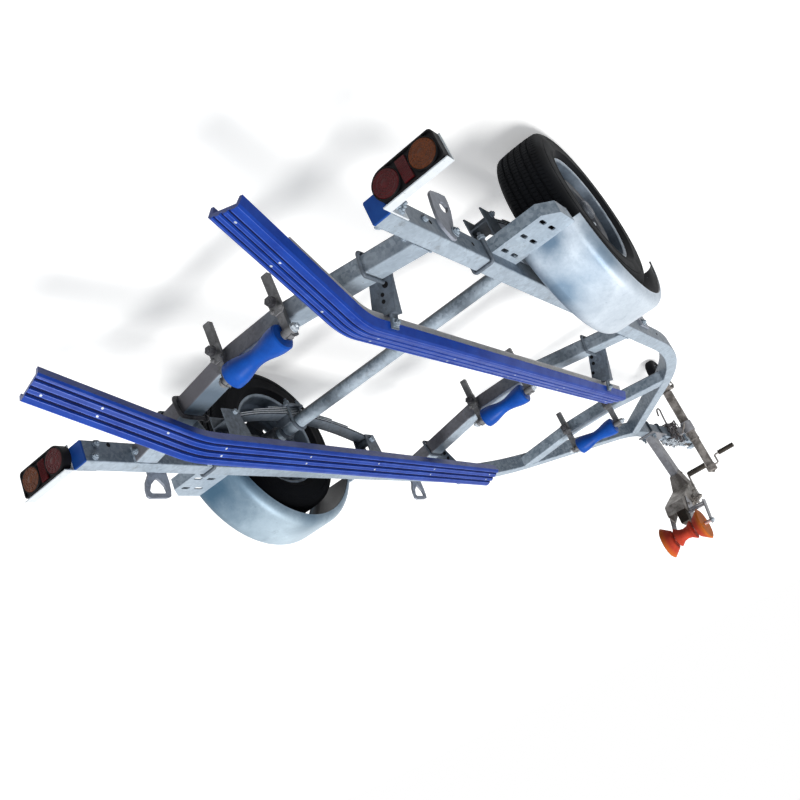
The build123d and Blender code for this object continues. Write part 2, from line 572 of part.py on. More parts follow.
# Jack beside the drawbar
def jack_tube():
    """Two-step tube with a cap over the screw."""
    upper = rod((JACK_X, JACK_Y, JACK_COLLAR), (JACK_X, JACK_Y, JACK_TOP), JACK_RADIUS)
    lower = rod((JACK_X, JACK_Y, JACK_TUBE_FOOT), (JACK_X, JACK_Y, JACK_COLLAR), JACK_RADIUS + 2)
    bore = rod((JACK_X, JACK_Y, 150), (JACK_X, JACK_Y, JACK_TOP - 8), JACK_LEG_RADIUS + RUNNING_GAP)
    cap = rod((JACK_X, JACK_Y, JACK_TOP), (JACK_X, JACK_Y, JACK_TOP + 36), JACK_CAP_RADIUS)
    return upper + lower - bore + fillet(cap.edges().filter_by(GeomType.CIRCLE), 6)


def jack_clamp():
    made = block((RAIL_WIDTH / 2, RAIL_WIDTH / 2 + 8), (JACK_Y - 45, JACK_Y + 45), (420, 470))
    made += block((RAIL_WIDTH / 2, JACK_X), (JACK_Y - 15, JACK_Y + 15), (425, 465))
    made += rod((JACK_X, JACK_Y, 415), (JACK_X, JACK_Y, 475), JACK_RADIUS + 8)
    return made - rod((JACK_X, JACK_Y, 400), (JACK_X, JACK_Y, 500), JACK_RADIUS + 2)


def jack_leg():
    """Inner tube on a fork with a cover, and the wheel's axle."""
    made = rod((JACK_X, JACK_Y, 204), (JACK_X, JACK_Y, JACK_LEG_TOP), JACK_LEG_RADIUS)
    x = JACK_X - JOCKEY_FORK_X - 4, JACK_X + JOCKEY_FORK_X + 4
    hood = ring_sector(JOCKEY_RADIUS + 8, JOCKEY_RADIUS + 12, 40, 140, x)
    cheek = side_plate([(-76, 70), (76, 70), (24, -16), (0, -24), (-24, -16)], (-2, 2))
    made += Pos(0, JACK_Y, JOCKEY_RADIUS) * hood
    for side in (-1, 1):
        made += Pos(JACK_X + side * (JOCKEY_FORK_X + 2), JACK_Y, JOCKEY_RADIUS) * cheek
    return made + across((x[0] - 6, x[1] + 6), JACK_Y, JOCKEY_RADIUS, 8)


def jockey_tyre():
    outer, half, seat = JOCKEY_RADIUS, JOCKEY_HALF, JOCKEY_SEAT
    profile = [
        (-half + 6, seat), (-half, seat + 10), (-half, outer - 14), (-half + 6, outer - 4), (-half + 14, outer),
        (half - 14, outer), (half - 6, outer - 4), (half, outer - 14), (half, seat + 10), (half - 6, seat),
    ]
    return Pos(JACK_X, JACK_Y, JOCKEY_RADIUS) * turned_on_x(profile)


def jockey_rim():
    seat, hub, bore = JOCKEY_SEAT, 18, 8 + RUNNING_GAP
    profile = [
        (-30, bore), (-30, hub), (-6, hub + 4), (-6, seat - 6), (-20, seat - 4), (-20, seat),
        (20, seat), (20, seat - 4), (6, seat - 6), (6, hub + 4), (30, hub), (30, bore),
    ]
    return Pos(JACK_X, JACK_Y, JOCKEY_RADIUS) * turned_on_x(profile)


def jack_crank():
    """Cranked rod out of the cap's side with its grip."""
    x, high, low = JACK_X + 48, JACK_TOP + 10, JACK_TOP - 36
    corners = [(JACK_X + JACK_CAP_RADIUS, high), (x, high), (x, low), (x + 26, low)]
    return u_bolt([(side, JACK_Y, z) for side, z in corners], 10, 5) + across((x + 26, x + 120), JACK_Y, low, 12)


# Coupling on the drawbar's end
def coupling():
    front = DRAWBAR_FRONT_Y
    sleeve = block((-32, 32), (front - 6, front + 110), (405, 484))
    sleeve -= block((-25, 25), (front, front + 111), (412, 477))
    neck = block((-30, 30), (BALL_Y, front), (BALL_Z, BALL_Z + 52))
    head = rod((0, BALL_Y, BALL_Z), (0, BALL_Y, BALL_Z + 60), abs(COUPLING_NOSE_Y - BALL_Y))
    socket = rod((0, BALL_Y, BALL_Z - 1), (0, BALL_Y, BALL_Z + 34), BALL_RADIUS)
    return sleeve + neck + head - socket


def coupling_lever():
    foot = BALL_Z + 60
    grip = [(-2960, 495), (-2900, 505), (-2900, 512), (-2990, 510), (-3080, 482)]
    return side_plate([(-3090, foot), (-3060, foot), *grip], (-12, 12))


def safety_chain():
    """Coils of flat links round the drawbar, and the hanging hook."""
    made = None
    half_x, half_z, z = RAIL_WIDTH / 2 + 7, RAIL_HEIGHT / 2 + 7, RAIL_TOP - RAIL_HEIGHT / 2
    for row in range(5):
        y = -2618 + 34 * row
        ring = RectangleRounded(2 * half_x + 10, 2 * half_z + 10, 14)
        ring -= RectangleRounded(2 * half_x - 14, 2 * half_z - 14, 5)
        coil = extrude(Plane(origin=(0, y, z), x_dir=(1, 0, 0), z_dir=(0, -1, 0)) * ring, 12)
        made = coil if made is None else made + coil
    return made


def frame_u_bolts():
    """U-bolts over the rails at the step plates and round the drawbar at the winch post."""
    half = RAIL_WIDTH / 2 + 5
    low, high = RAIL_TOP - RAIL_HEIGHT - 5, RAIL_TOP + 5
    made = both(strap_bolt((RAIL_X - half, RAIL_X + half), 492, (high, low - 16), low + 5))
    for y in STRAP_YS:
        made += strap_bolt((-half, half), y, (low, high + 16), RAIL_TOP + 6)
    return made


NODES = {
    "rail_left": rail_left,
    "rail_right": rail_right,
    "axle_beam": axle_beam(),
    "spring_left": leaf_spring(),
    "spring_hangers": both(spring_hangers()),
    "axle_clamps": both(axle_clamp()),
    "tyre_left": tyre(),
    "rim_left": rim(),
    "hub_left": hub(),
    "mudguard_left": mudguard(),
    "mudguard_arms": both(guard_arms()),
    "lamp_brackets": both(lamp_bracket()),
    "lamp_housings": both(lamp_housing()),
    "lamp_amber_lenses": both(round_lens(AMBER_X)),
    "lamp_red_lenses": both(round_lens(RED_X) + strip_lens()),
    "rail_end_caps": both(end_cap()),
    "tie_down_lugs": lugs(),
    "bunk_skid_left": bunk_skid(),
    "bunk_channel_left": bunk_channel(),
    "bunk_brackets_rear": both(bunk_bracket(750, 184, (362, 462, 64))),
    "bunk_brackets_middle": both(bunk_bracket(-615, 208, (374, 460, 64))),
    "winch_post": winch_post(),
    "winch_frame": winch_frame(),
    "winch_drum": winch_drum(),
    "strap_guide": strap_guide(),
    "winch_handle": winch_handle(),
    "bow_yoke": bow_yoke(),
    "bow_roller": bow_roller(),
    "jack_tube": jack_tube(),
    "jack_clamp": jack_clamp(),
    "jack_leg": jack_leg(),
    "jack_crank": jack_crank(),
    "jockey_tyre": jockey_tyre(),
    "jockey_rim": jockey_rim(),
    "coupling": coupling(),
    "coupling_lever": coupling_lever(),
    "safety_chain": safety_chain(),
    "frame_u_bolts": frame_u_bolts(),
}
for name, y, top, end in CROSSMEMBERS:
    NODES["crossmember_" + name] = crossmember(y, top, end)
for name, y, z, foot in KEEL_ROLLERS:
    NODES["roller_carrier_" + name] = keel_carrier(y, z, foot)
    NODES["keel_roller_" + name] = keel_roller(y, z)
for name in [name for name in NODES if name.endswith("_left") and name != "rail_left"]:
    NODES[name.replace("_left", "_right")] = mirror(NODES[name], about=Plane.YZ)

os.makedirs("parts", exist_ok=True)
for name, shape in NODES.items():
    export_step(Pos(0, SHIFT_Y, 0) * shape, "parts/" + name + ".step")
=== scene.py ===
"""Looks of the boat trailer: materials, fine pieces, floor, light and camera."""
import json
import math

import bmesh
import bpy
from mathutils import Matrix, Vector


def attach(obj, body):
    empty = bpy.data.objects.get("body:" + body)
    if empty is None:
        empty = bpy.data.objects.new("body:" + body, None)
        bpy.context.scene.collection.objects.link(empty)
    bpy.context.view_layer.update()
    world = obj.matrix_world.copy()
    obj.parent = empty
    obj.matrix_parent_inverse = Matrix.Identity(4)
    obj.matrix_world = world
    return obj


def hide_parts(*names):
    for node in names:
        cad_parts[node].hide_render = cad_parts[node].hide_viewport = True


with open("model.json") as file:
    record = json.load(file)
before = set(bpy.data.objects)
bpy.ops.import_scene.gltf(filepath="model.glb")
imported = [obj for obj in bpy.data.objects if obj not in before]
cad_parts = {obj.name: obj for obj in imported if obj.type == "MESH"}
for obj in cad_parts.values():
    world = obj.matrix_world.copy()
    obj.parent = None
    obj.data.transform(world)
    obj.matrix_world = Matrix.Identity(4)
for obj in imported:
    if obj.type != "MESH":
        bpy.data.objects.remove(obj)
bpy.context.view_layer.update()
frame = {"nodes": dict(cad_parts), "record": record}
NODES = frame["nodes"]

# The picture is upside down, so the camera is rolled over.
PICTURE_SIDE = 800
FOCAL_PIXELS = 909.19
PRINCIPAL_POINT = (423.58, 357.0)
SENSOR_WIDTH = 36.0
CAMERA_PLACE = (1.194, 3.447, 1.499)
CAMERA_TURN = (1.7774, -0.8367, -0.0091)

# Fine pieces are drawn in millimetres, with y measured from the axle, and made in metres in the
# CAD's frame.
MILLIMETRE = 0.001
AXLE_Y = 0.959
AXLE_Z = 281.0
AXLE = (0.0, AXLE_Y, AXLE_Z * MILLIMETRE)


def linear(colour):
    """Linear colour from screen values of 0 to 255."""
    return (*(c / 3294.6 if c <= 10 else ((c / 255 + 0.055) / 1.055) ** 2.4 for c in colour), 1.0)


# ---------------- materials
class Nodes:
    """Short ways to make the nodes of a tree."""

    def __init__(self, tree):
        self.tree = tree

    def join(self, value, socket):
        """Links another node's socket to this one, or writes a plain value into it."""
        if isinstance(value, bpy.types.NodeSocket):
            self.tree.links.new(value, socket)
        else:
            socket.default_value = value

    def node(self, kind, values=None, **settings):
        made = self.tree.nodes.new(kind)
        for key, value in settings.items():
            setattr(made, key, value)
        for key, value in (values or {}).items():
            self.join(value, made.inputs[key])
        return made

    def math(self, operation, *values):
        return self.node("ShaderNodeMath", dict(enumerate(values)), operation=operation).outputs[0]

    def seen(self):
        """1 for what the camera sees, straight, in gloss or through glass."""
        rays = self.node("ShaderNodeLightPath").outputs
        either = self.math("MAXIMUM", rays["Is Camera Ray"], rays["Is Glossy Ray"])
        return self.math("MAXIMUM", either, rays["Is Transmission Ray"])


class Shader(Nodes):
    """A material whose surface is made of nodes."""

    def __init__(self, name, shine=0.5):
        self.material = bpy.data.materials.new(name)
        self.material.use_nodes = True
        super().__init__(self.material.node_tree)
        self.surface = self.tree.nodes["Principled BSDF"]
        self.place = self.node("ShaderNodeTexCoord").outputs["Object"]
        self.set(Specular_IOR_Level=shine)

    def set(self, **values):
        for key, value in values.items():
            self.join(value, self.surface.inputs[key.replace("_", " ")])

    def vector(self, operation, *values):
        """Result of vector maths: a number for a length, a distance or a dot product."""
        made = self.node("ShaderNodeVectorMath", dict(enumerate(values)), operation=operation)
        return made.outputs["Value" if operation in ("LENGTH", "DISTANCE", "DOT_PRODUCT") else "Vector"]

    def noise(self, scale, detail=4.0, roughness=0.55, stretch=(1, 1, 1), warp=0.0):
        place = self.node("ShaderNodeMapping", {"Vector": self.place, "Scale": stretch}).outputs[0]
        values = {"Scale": scale, "Detail": detail, "Roughness": roughness, "Distortion": warp}
        return self.node("ShaderNodeTexNoise", {"Vector": place, **values}).outputs["Fac"]

    def cells(self, scale):
        """One number for each cell of a mosaic with wandering edges."""
        wander = self.node("ShaderNodeTexNoise", {"Vector": self.place, "Scale": 40.0}).outputs["Color"]
        place = self.vector("ADD", self.place, self.vector("MULTIPLY", wander, (0.012,) * 3))
        cell = self.node("ShaderNodeTexVoronoi", {"Vector": place, "Scale": scale}).outputs["Color"]
        return self.node("ShaderNodeSeparateColor", {0: cell}).outputs[0]

    def part(self, vector, axis):
        """One part of a vector: 0 across, 1 to the rear, 2 up."""
        return self.node("ShaderNodeSeparateXYZ", {0: vector}).outputs[axis]

    def normal(self):
        return self.node("ShaderNodeNewGeometry").outputs["Normal"]

    def facing(self, axis):
        """How far the surface faces along an axis."""
        return self.part(self.normal(), axis)

    def spoke(self):
        """From the wheels' axis to the surface, square to the axis."""
        return self.vector("MULTIPLY", self.vector("SUBTRACT", self.place, AXLE), (0.0, 1.0, 1.0))

    def upward(self, low, high):
        """0 where the surface faces down or sideways, 1 where it faces up."""
        return self.ramp(self.facing(2), low, high)

    def sideways(self):
        """How far the surface faces the trailer's sides."""
        return self.math("ABSOLUTE", self.facing(0))

    def ramp(self, value, low, high, out_low=0.0, out_high=1.0):
        values = {0: value, 1: low, 2: high, 3: out_low, 4: out_high}
        return self.node("ShaderNodeMapRange", values).outputs[0]

    def mix(self, factor, first, second):
        """Mix of sockets or colours: three parts are screen values, and four a linear colour."""
        ends = [linear(c) if isinstance(c, tuple) and len(c) == 3 else c for c in (first, second)]
        made = self.node("ShaderNodeMix", {0: factor, 6: ends[0], 7: ends[1]}, data_type="RGBA")
        return made.outputs[2]

    def bump(self, height, strength, distance):
        values = {"Height": height, "Strength": strength, "Distance": distance}
        self.set(Normal=self.node("ShaderNodeBump", values).outputs[0])


# Colour mixed into what faces down: road dirt and painted shade
GRIME_AND_SHADE = (62, 56, 52)


def galvanised(
    name, light, dark, stain, spangle=105.0, metal=0.1, dust_and_top_light=0.5, cloudy=0.6, shine=0.25, size=5.0,
    shoulder=0.0, sides=0.0, under=0.75, facets=(0.2, 0.74), patches=(), rear=None, inside=None,
):
    """Hot-dip zinc: faceted spangle, cloudy patches, runs, stains, and painted top light on what faces up.

    The shoulder darkens cloudy patches and what faces the trailer's sides, and sides darkens what faces
    them
    squarely: both are painted shade. Under sets how much grime colour goes on what faces down, as road
    dirt and painted shade, and facets are the limits of the spangle. Patches are dark spots at given
    places; on the mudguards they are painted reflection. Rear is the colour of painted shade on what faces
    the rear, right of the middle, and inside the colour of painted shade on what faces the axle.
    """
    s = Shader(name, shine)
    cloud = s.noise(size, 7.0, 0.62, warp=0.6)
    mottle = s.noise(26.0, 6.0, 0.65)
    runs = s.noise(17.0, 9.0, 0.72, (1, 1, 0.35))
    colour = s.mix(s.ramp(s.cells(spangle), 0.0, 1.0, *facets), dark, light)
    colour = s.mix(s.ramp(cloud, 0.36, 0.66, 0.0, cloudy), colour, dark)
    colour = s.mix(s.ramp(mottle, 0.45, 0.72, 0.0, 0.45), colour, light)
    # painted top light: what faces up is mixed towards the light colour
    colour = s.mix(s.math("MULTIPLY", s.upward(0.2, 0.9), dust_and_top_light), colour, light)
    # painted shade: the shoulder darkens cloudy patches and what faces the trailer's sides
    colour = s.mix(s.ramp(cloud, 0.5, 0.62, 0.0, shoulder), colour, dark)
    colour = s.mix(s.ramp(s.sideways(), 0.25, 0.8, 0.0, shoulder), colour, dark)
    # painted shade on what faces the trailer's sides squarely
    colour = s.mix(s.ramp(s.sideways(), 0.6, 0.95, 0.0, sides), colour, dark)
    colour = s.mix(s.ramp(runs, 0.58, 0.76, 0.0, 0.6), colour, stain)
    # dark patches at given places; on the mudguards they are painted reflection
    for place, radius, strength in patches:
        ragged = s.math("MULTIPLY_ADD", cloud, -0.9 * radius, s.vector("DISTANCE", s.place, place))
        colour = s.mix(s.ramp(ragged, 0.6 * radius, -0.2 * radius, 0.0, strength), colour, dark)
    # painted shade on what faces the rear, right of the middle
    if rear:
        right = s.ramp(s.part(s.place, 0), 0.22, 0.0, 0.15, 0.7)
        behind = s.ramp(s.facing(1), 0.4, 0.8)
        colour = s.mix(s.math("MULTIPLY", behind, right), colour, rear)
    # grime colour on what faces down: road dirt and painted shade
    colour = s.mix(s.math("MULTIPLY", s.upward(-0.1, -0.7), under), colour, GRIME_AND_SHADE)
    # painted shade on what faces the axle, where the zinc is not metallic
    if inside:
        outward = s.vector("DOT_PRODUCT", s.vector("NORMALIZE", s.spoke()), s.normal())
        colour = s.mix(s.ramp(outward, -0.3, -0.8), colour, inside)
        metal = s.ramp(outward, -0.3, -0.8, metal, 0.0)
    specks = s.ramp(s.noise(150.0, 3.0, 0.5), 0.68, 0.74, 0.0, 0.5)
    colour = s.mix(specks, colour, stain)
    s.set(Base_Color=colour, Metallic=metal, Roughness=s.ramp(cloud, 0.3, 0.7, 0.55, 0.38))
    s.bump(s.mix(0.5, s.noise(34.0, 5.0, 0.6), s.noise(260.0, 3.0)), 0.35, 0.0012)
    return s.material


def dark_steel(name, base, worn, metal=0.25, rough=(0.62, 0.4)):
    """Aged plated steel with brown film and scuffs."""
    s = Shader(name, 0.2)
    film = s.noise(24.0, 8.0, 0.68)
    colour = s.mix(s.ramp(film, 0.4, 0.64), base, worn)
    colour = s.mix(s.ramp(s.noise(120.0, 4.0), 0.62, 0.7, 0.0, 0.6), colour, base)
    s.set(Base_Color=colour, Metallic=metal, Roughness=s.ramp(film, 0.3, 0.75, *rough))
    s.bump(s.noise(300.0, 4.0), 0.15, 0.0005)
    return s.material


def moulded(name, base, shade, roughness, shine=0.2, grain=420.0, scratch=None):
    """Moulded plastic or rubber with a fine grain, scuffs and, where given, pale scratches along it."""
    s = Shader(name, shine)
    scuff = s.noise(14.0, 7.0, 0.7)
    colour = s.mix(s.ramp(scuff, 0.35, 0.72), base, shade)
    if scratch:
        lines = s.noise(90.0, 6.0, 0.7, (1, 0.05, 1))
        colour = s.mix(s.ramp(lines, 0.62, 0.7, 0.0, 0.5), colour, scratch)
    s.set(Base_Color=colour, Roughness=s.ramp(scuff, 0.3, 0.75, roughness, roughness + 0.14))
    s.bump(s.noise(grain, 3.0), 0.08, 0.0004)
    return s.material


def tyre_rubber(name, base, dust_and_top_light):
    """Black rubber with a thin film of dust and a fine grain."""
    s = Shader(name, 0.08)
    grime = s.noise(16.0, 8.0, 0.7)
    colour = s.mix(s.ramp(grime, 0.42, 0.74, 0.0, 0.6), base, dust_and_top_light)
    s.set(Base_Color=colour, Roughness=s.ramp(grime, 0.3, 0.8, 0.6, 0.85))
    s.bump(s.noise(520.0, 4.0), 0.2, 0.0006)
    return s.material


def lens(name, base, depth):
    """Clear coloured plastic over a dark bowl, faintly beaded."""
    s = Shader(name, 0.15)
    beads = s.node("ShaderNodeTexVoronoi", {"Vector": s.place, "Scale": 260.0}).outputs["Distance"]
    cloud = s.noise(60.0, 3.0)
    colour = s.mix(s.ramp(beads, 0.2, 0.8, 0.0, 0.5), base, depth)
    s.set(Base_Color=s.mix(s.ramp(cloud, 0.4, 0.7, 0.0, 0.5), colour, depth), Roughness=0.3)
    s.bump(beads, 0.4, 0.0008)
    return s.material


def webbing(name, base, edge):
    """Woven strap: fine ribs across it."""
    s = Shader(name)
    wave = s.node("ShaderNodeTexWave", {"Vector": s.place, "Scale": 180.0}, bands_direction="X")
    ribs = wave.outputs["Fac"]
    s.set(Base_Color=s.mix(s.ramp(ribs, 0.2, 0.8), base, edge), Roughness=0.85)
    s.bump(ribs, 0.5, 0.0006)
    return s.material


def translucent_rubber(name, base, shade, rim):
    """Bow roller's soft plastic, with painted light where light comes through its thin outer rims."""
    s = Shader(name, 0.1)
    scuff = s.noise(22.0, 7.0, 0.7)
    colour = s.mix(s.ramp(scuff, 0.38, 0.68), base, shade)
    across = s.math("ABSOLUTE", s.part(s.place, 0))
    # painted light: the outer rims are mixed towards the paler rim colour
    colour = s.mix(s.ramp(across, 0.078, 0.103, 0.0, 0.85), colour, rim)
    s.set(Base_Color=colour, Roughness=0.55)
    s.bump(scuff, 0.1, 0.0008)
    return s.material


def rim_paint(name, disc, barrel, flange):
    """Silver paint of a wheel: painted shade on the recessed disc, lighter towards the flange, with
    patches of road film.
    """
    s = Shader(name, 0.25)
    radius = s.vector("LENGTH", s.spoke())
    film = s.noise(20.0, 7.0, 0.65)
    # painted shade: dark on the disc, lighter out to the barrel and the flange
    colour = s.mix(s.ramp(radius, 0.135, 0.15), disc, barrel)
    colour = s.mix(s.ramp(radius, 0.17, 0.177), colour, flange)
    colour = s.mix(s.ramp(film, 0.45, 0.7, 0.0, 0.55), colour, disc)
    s.set(Base_Color=colour, Metallic=0.2, Roughness=s.ramp(film, 0.3, 0.7, 0.35, 0.6))
    s.bump(film, 0.15, 0.0008)
    return s.material


ZINC = (198, 212, 225), (96, 112, 128), (92, 88, 86)
LOOKS = [
    (galvanised, "galvanised", *ZINC),
    (dark_steel, "dark_steel", (110, 104, 100), (172, 166, 160)),
    (tyre_rubber, "tyre", (17, 19, 23), (34, 34, 35)),
    (rim_paint, "rim_silver", (34, 39, 48), (98, 110, 124), (178, 192, 206)),
    (dark_steel, "hub_grey", (70, 74, 82), (120, 126, 134)),
    (moulded, "skid_blue", (28, 72, 172), (19, 52, 142), 0.3, 0.16, 420.0, (62, 96, 190)),
    (moulded, "roller_blue", (16, 90, 192), (10, 70, 160), 0.36),
    (translucent_rubber, "roller_orange", (214, 82, 56), (188, 62, 50), (242, 134, 52)),
    (moulded, "cap_blue", (24, 78, 158), (17, 58, 134), 0.42),
    (moulded, "grip_black", (52, 48, 44), (88, 82, 75), 0.7),
    (moulded, "lamp_black", (15, 15, 18), (27, 26, 28), 0.5, 0.12),
    (lens, "lens_amber", (120, 64, 32), (64, 34, 22)),
    (lens, "lens_red", (92, 22, 27), (54, 15, 18)),
    (galvanised, "chain_steel", (236, 243, 250), (164, 174, 184), (110, 106, 104), 200.0, 0.3, 0.2),
]
MATERIALS = {slot: look(slot, *values) for look, slot, *values in LOOKS}
# Dark patches on the zinc: place, radius and strength. On the mudguards they are painted reflection.
GUARD_REFLECTION_SPOTS = [
    ((0.6, 1.195, 0.55), 0.145, 0.9),
    ((0.668, 1.283, 0.448), 0.07, 0.9),
    ((0.774, 1.2, 0.54), 0.11, 0.75),
]
SHADED_GUARD_REFLECTION_SPOTS = [
    ((-0.7, 1.28, 0.46), 0.33, 1.0), ((-0.72, 0.74, 0.55), 0.12, 0.8), ((-0.6, 0.98, 0.62), 0.1, 0.6),
]
BEAM_PATCHES = [((-0.25, 1.72, 0.44), 0.14, 0.9), ((0.15, 1.72, 0.43), 0.09, 0.35)]
# Painted shade on the mudguards' inner faces, over the wheels
GUARD_INNER_SHADE = (30, 31, 38)
# The mudguards are the same zinc: a brighter and a shaded copy, with painted highlights, reflection and
# shade
GUARD_ZINC = galvanised(
    "guard_zinc", (234, 243, 252), (82, 112, 138), (146, 164, 182), 150.0, 0.35,
    dust_and_top_light=0.55, cloudy=0.25, shine=0.5, size=3.1, shoulder=0.12, facets=(0.55, 0.72),
    patches=GUARD_REFLECTION_SPOTS, inside=GUARD_INNER_SHADE,
)
SHADED_GUARD_ZINC = galvanised(
    "shaded_guard_zinc", (208, 226, 238), (58, 92, 116), (110, 126, 140), 150.0, 0.35,
    dust_and_top_light=0.7, cloudy=0.3, shine=0.5, size=2.7, shoulder=0.35, facets=(0.5, 0.68),
    patches=SHADED_GUARD_REFLECTION_SPOTS, inside=GUARD_INNER_SHADE,
)
ROOF_ZINC = galvanised("roof_zinc", (248, 251, 254), (216, 227, 236), (140, 142, 146))
# Lit copy of the zinc for the bunks' channels: near white, so that their sides look lit, with little
# painted shade underneath
LIT_WARM_ZINC = galvanised(
    "lit_warm_zinc", (252, 248, 244), (232, 227, 223), (176, 168, 164),
    dust_and_top_light=0.3, cloudy=0.3, under=0.05,
)
# Rails' copy of the zinc, with painted shade on their side faces
RAIL_ZINC = galvanised("rail_zinc", ZINC[0], (84, 98, 114), ZINC[2], sides=0.5)
# Cross-members' zinc, with painted shade on the rear faces right of the middle
BEAM_ZINC = galvanised("beam_zinc", *ZINC, cloudy=0.75, patches=BEAM_PATCHES, rear=(108, 99, 101))
LUG_ZINC = galvanised("lug_zinc", (184, 190, 202), (132, 136, 148), (104, 98, 98), dust_and_top_light=0.2)
STEM_ZINC = galvanised("stem_zinc", (152, 153, 156), (98, 97, 98), (74, 68, 64), dust_and_top_light=0.25)
SHADED_ZINC = galvanised("shaded_zinc", (128, 138, 150), (78, 86, 96), (70, 66, 64), dust_and_top_light=0.2)
POST_ZINC = galvanised("post_zinc", (178, 180, 186), (122, 120, 124), (94, 88, 84), 80.0, 0.35, 0.3)
# Shaded copy of the chain's steel: painted shade on the turns round the drawbar
SHADED_CHAIN = dark_steel("shaded_chain", (52, 50, 52), (112, 108, 110), 0.3)
KNOB_STEEL = dark_steel("knob_steel", (46, 46, 50), (92, 92, 96))
JACK_STEEL = dark_steel("jack_steel", (112, 106, 102), (178, 172, 167))
STRAP_BLACK = webbing("strap_webbing", (38, 36, 36), (64, 60, 58))
# Painted shade in the skids' grooves
GROOVE_SHADE_BLUE = moulded("groove_shade", (12, 24, 74), (8, 16, 56), 0.8)
# Painted highlights on the skids' ridges
HIGHLIGHT_BLUE = moulded("skid_highlight", (66, 104, 208), (36, 70, 172), 0.3, 0.4)
HOLE_BLACK = moulded("hole_shadow", (14, 14, 16), (20, 20, 22), 0.9)

# Materials that single nodes have in place of their slot's
OWN_MATERIALS = [
    (RAIL_ZINC, ["rail_left", "rail_right"]),
    (JACK_STEEL, ["jack_tube", "jack_crank"]),
    (GUARD_ZINC, ["mudguard_left"]),
    (SHADED_GUARD_ZINC, ["mudguard_right"]),
    (POST_ZINC, ["winch_post", "jack_clamp", "bow_yoke"]),
    (ROOF_ZINC, ["lamp_brackets"]),
    (LIT_WARM_ZINC, ["bunk_channel_left", "bunk_channel_right"]),
    (BEAM_ZINC, ["crossmember_rear", "crossmember_middle"]),
    (SHADED_ZINC, ["spring_left", "spring_right", "spring_hangers", "axle_clamps", "frame_u_bolts"]),
    (SHADED_ZINC, ["bunk_brackets_rear", "bunk_brackets_middle"]),
    (STEM_ZINC, ["roller_carrier_rear", "roller_carrier_middle", "roller_carrier_front"]),
]
OWN_MATERIAL = {node: material for material, nodes in OWN_MATERIALS for node in nodes}
for part in frame["record"]["subparts"]:
    slots = NODES[part["node"]].data.materials
    slots.clear()
    slots.append(OWN_MATERIAL.get(part["node"], MATERIALS[part["material_slot"]]))


# ---------------- mesh making
LEFT, RIGHT, REAR, AHEAD, UP, DOWN = (1, 0, 0), (-1, 0, 0), (0, 1, 0), (0, -1, 0), (0, 0, 1), (0, 0, -1)


def round_turn(count):
    """Angles of equal steps round a full turn."""
    return [2 * math.pi * i / count for i in range(count)]


def placed(place, axis, turn=0.0):
    """Frame at a place with its own z along an axis."""
    turned = Vector(axis).normalized().to_track_quat("Z", "Y").to_matrix().to_4x4()
    return Matrix.Translation(Vector(place)) @ turned @ Matrix.Rotation(math.radians(turn), 4, "Z")


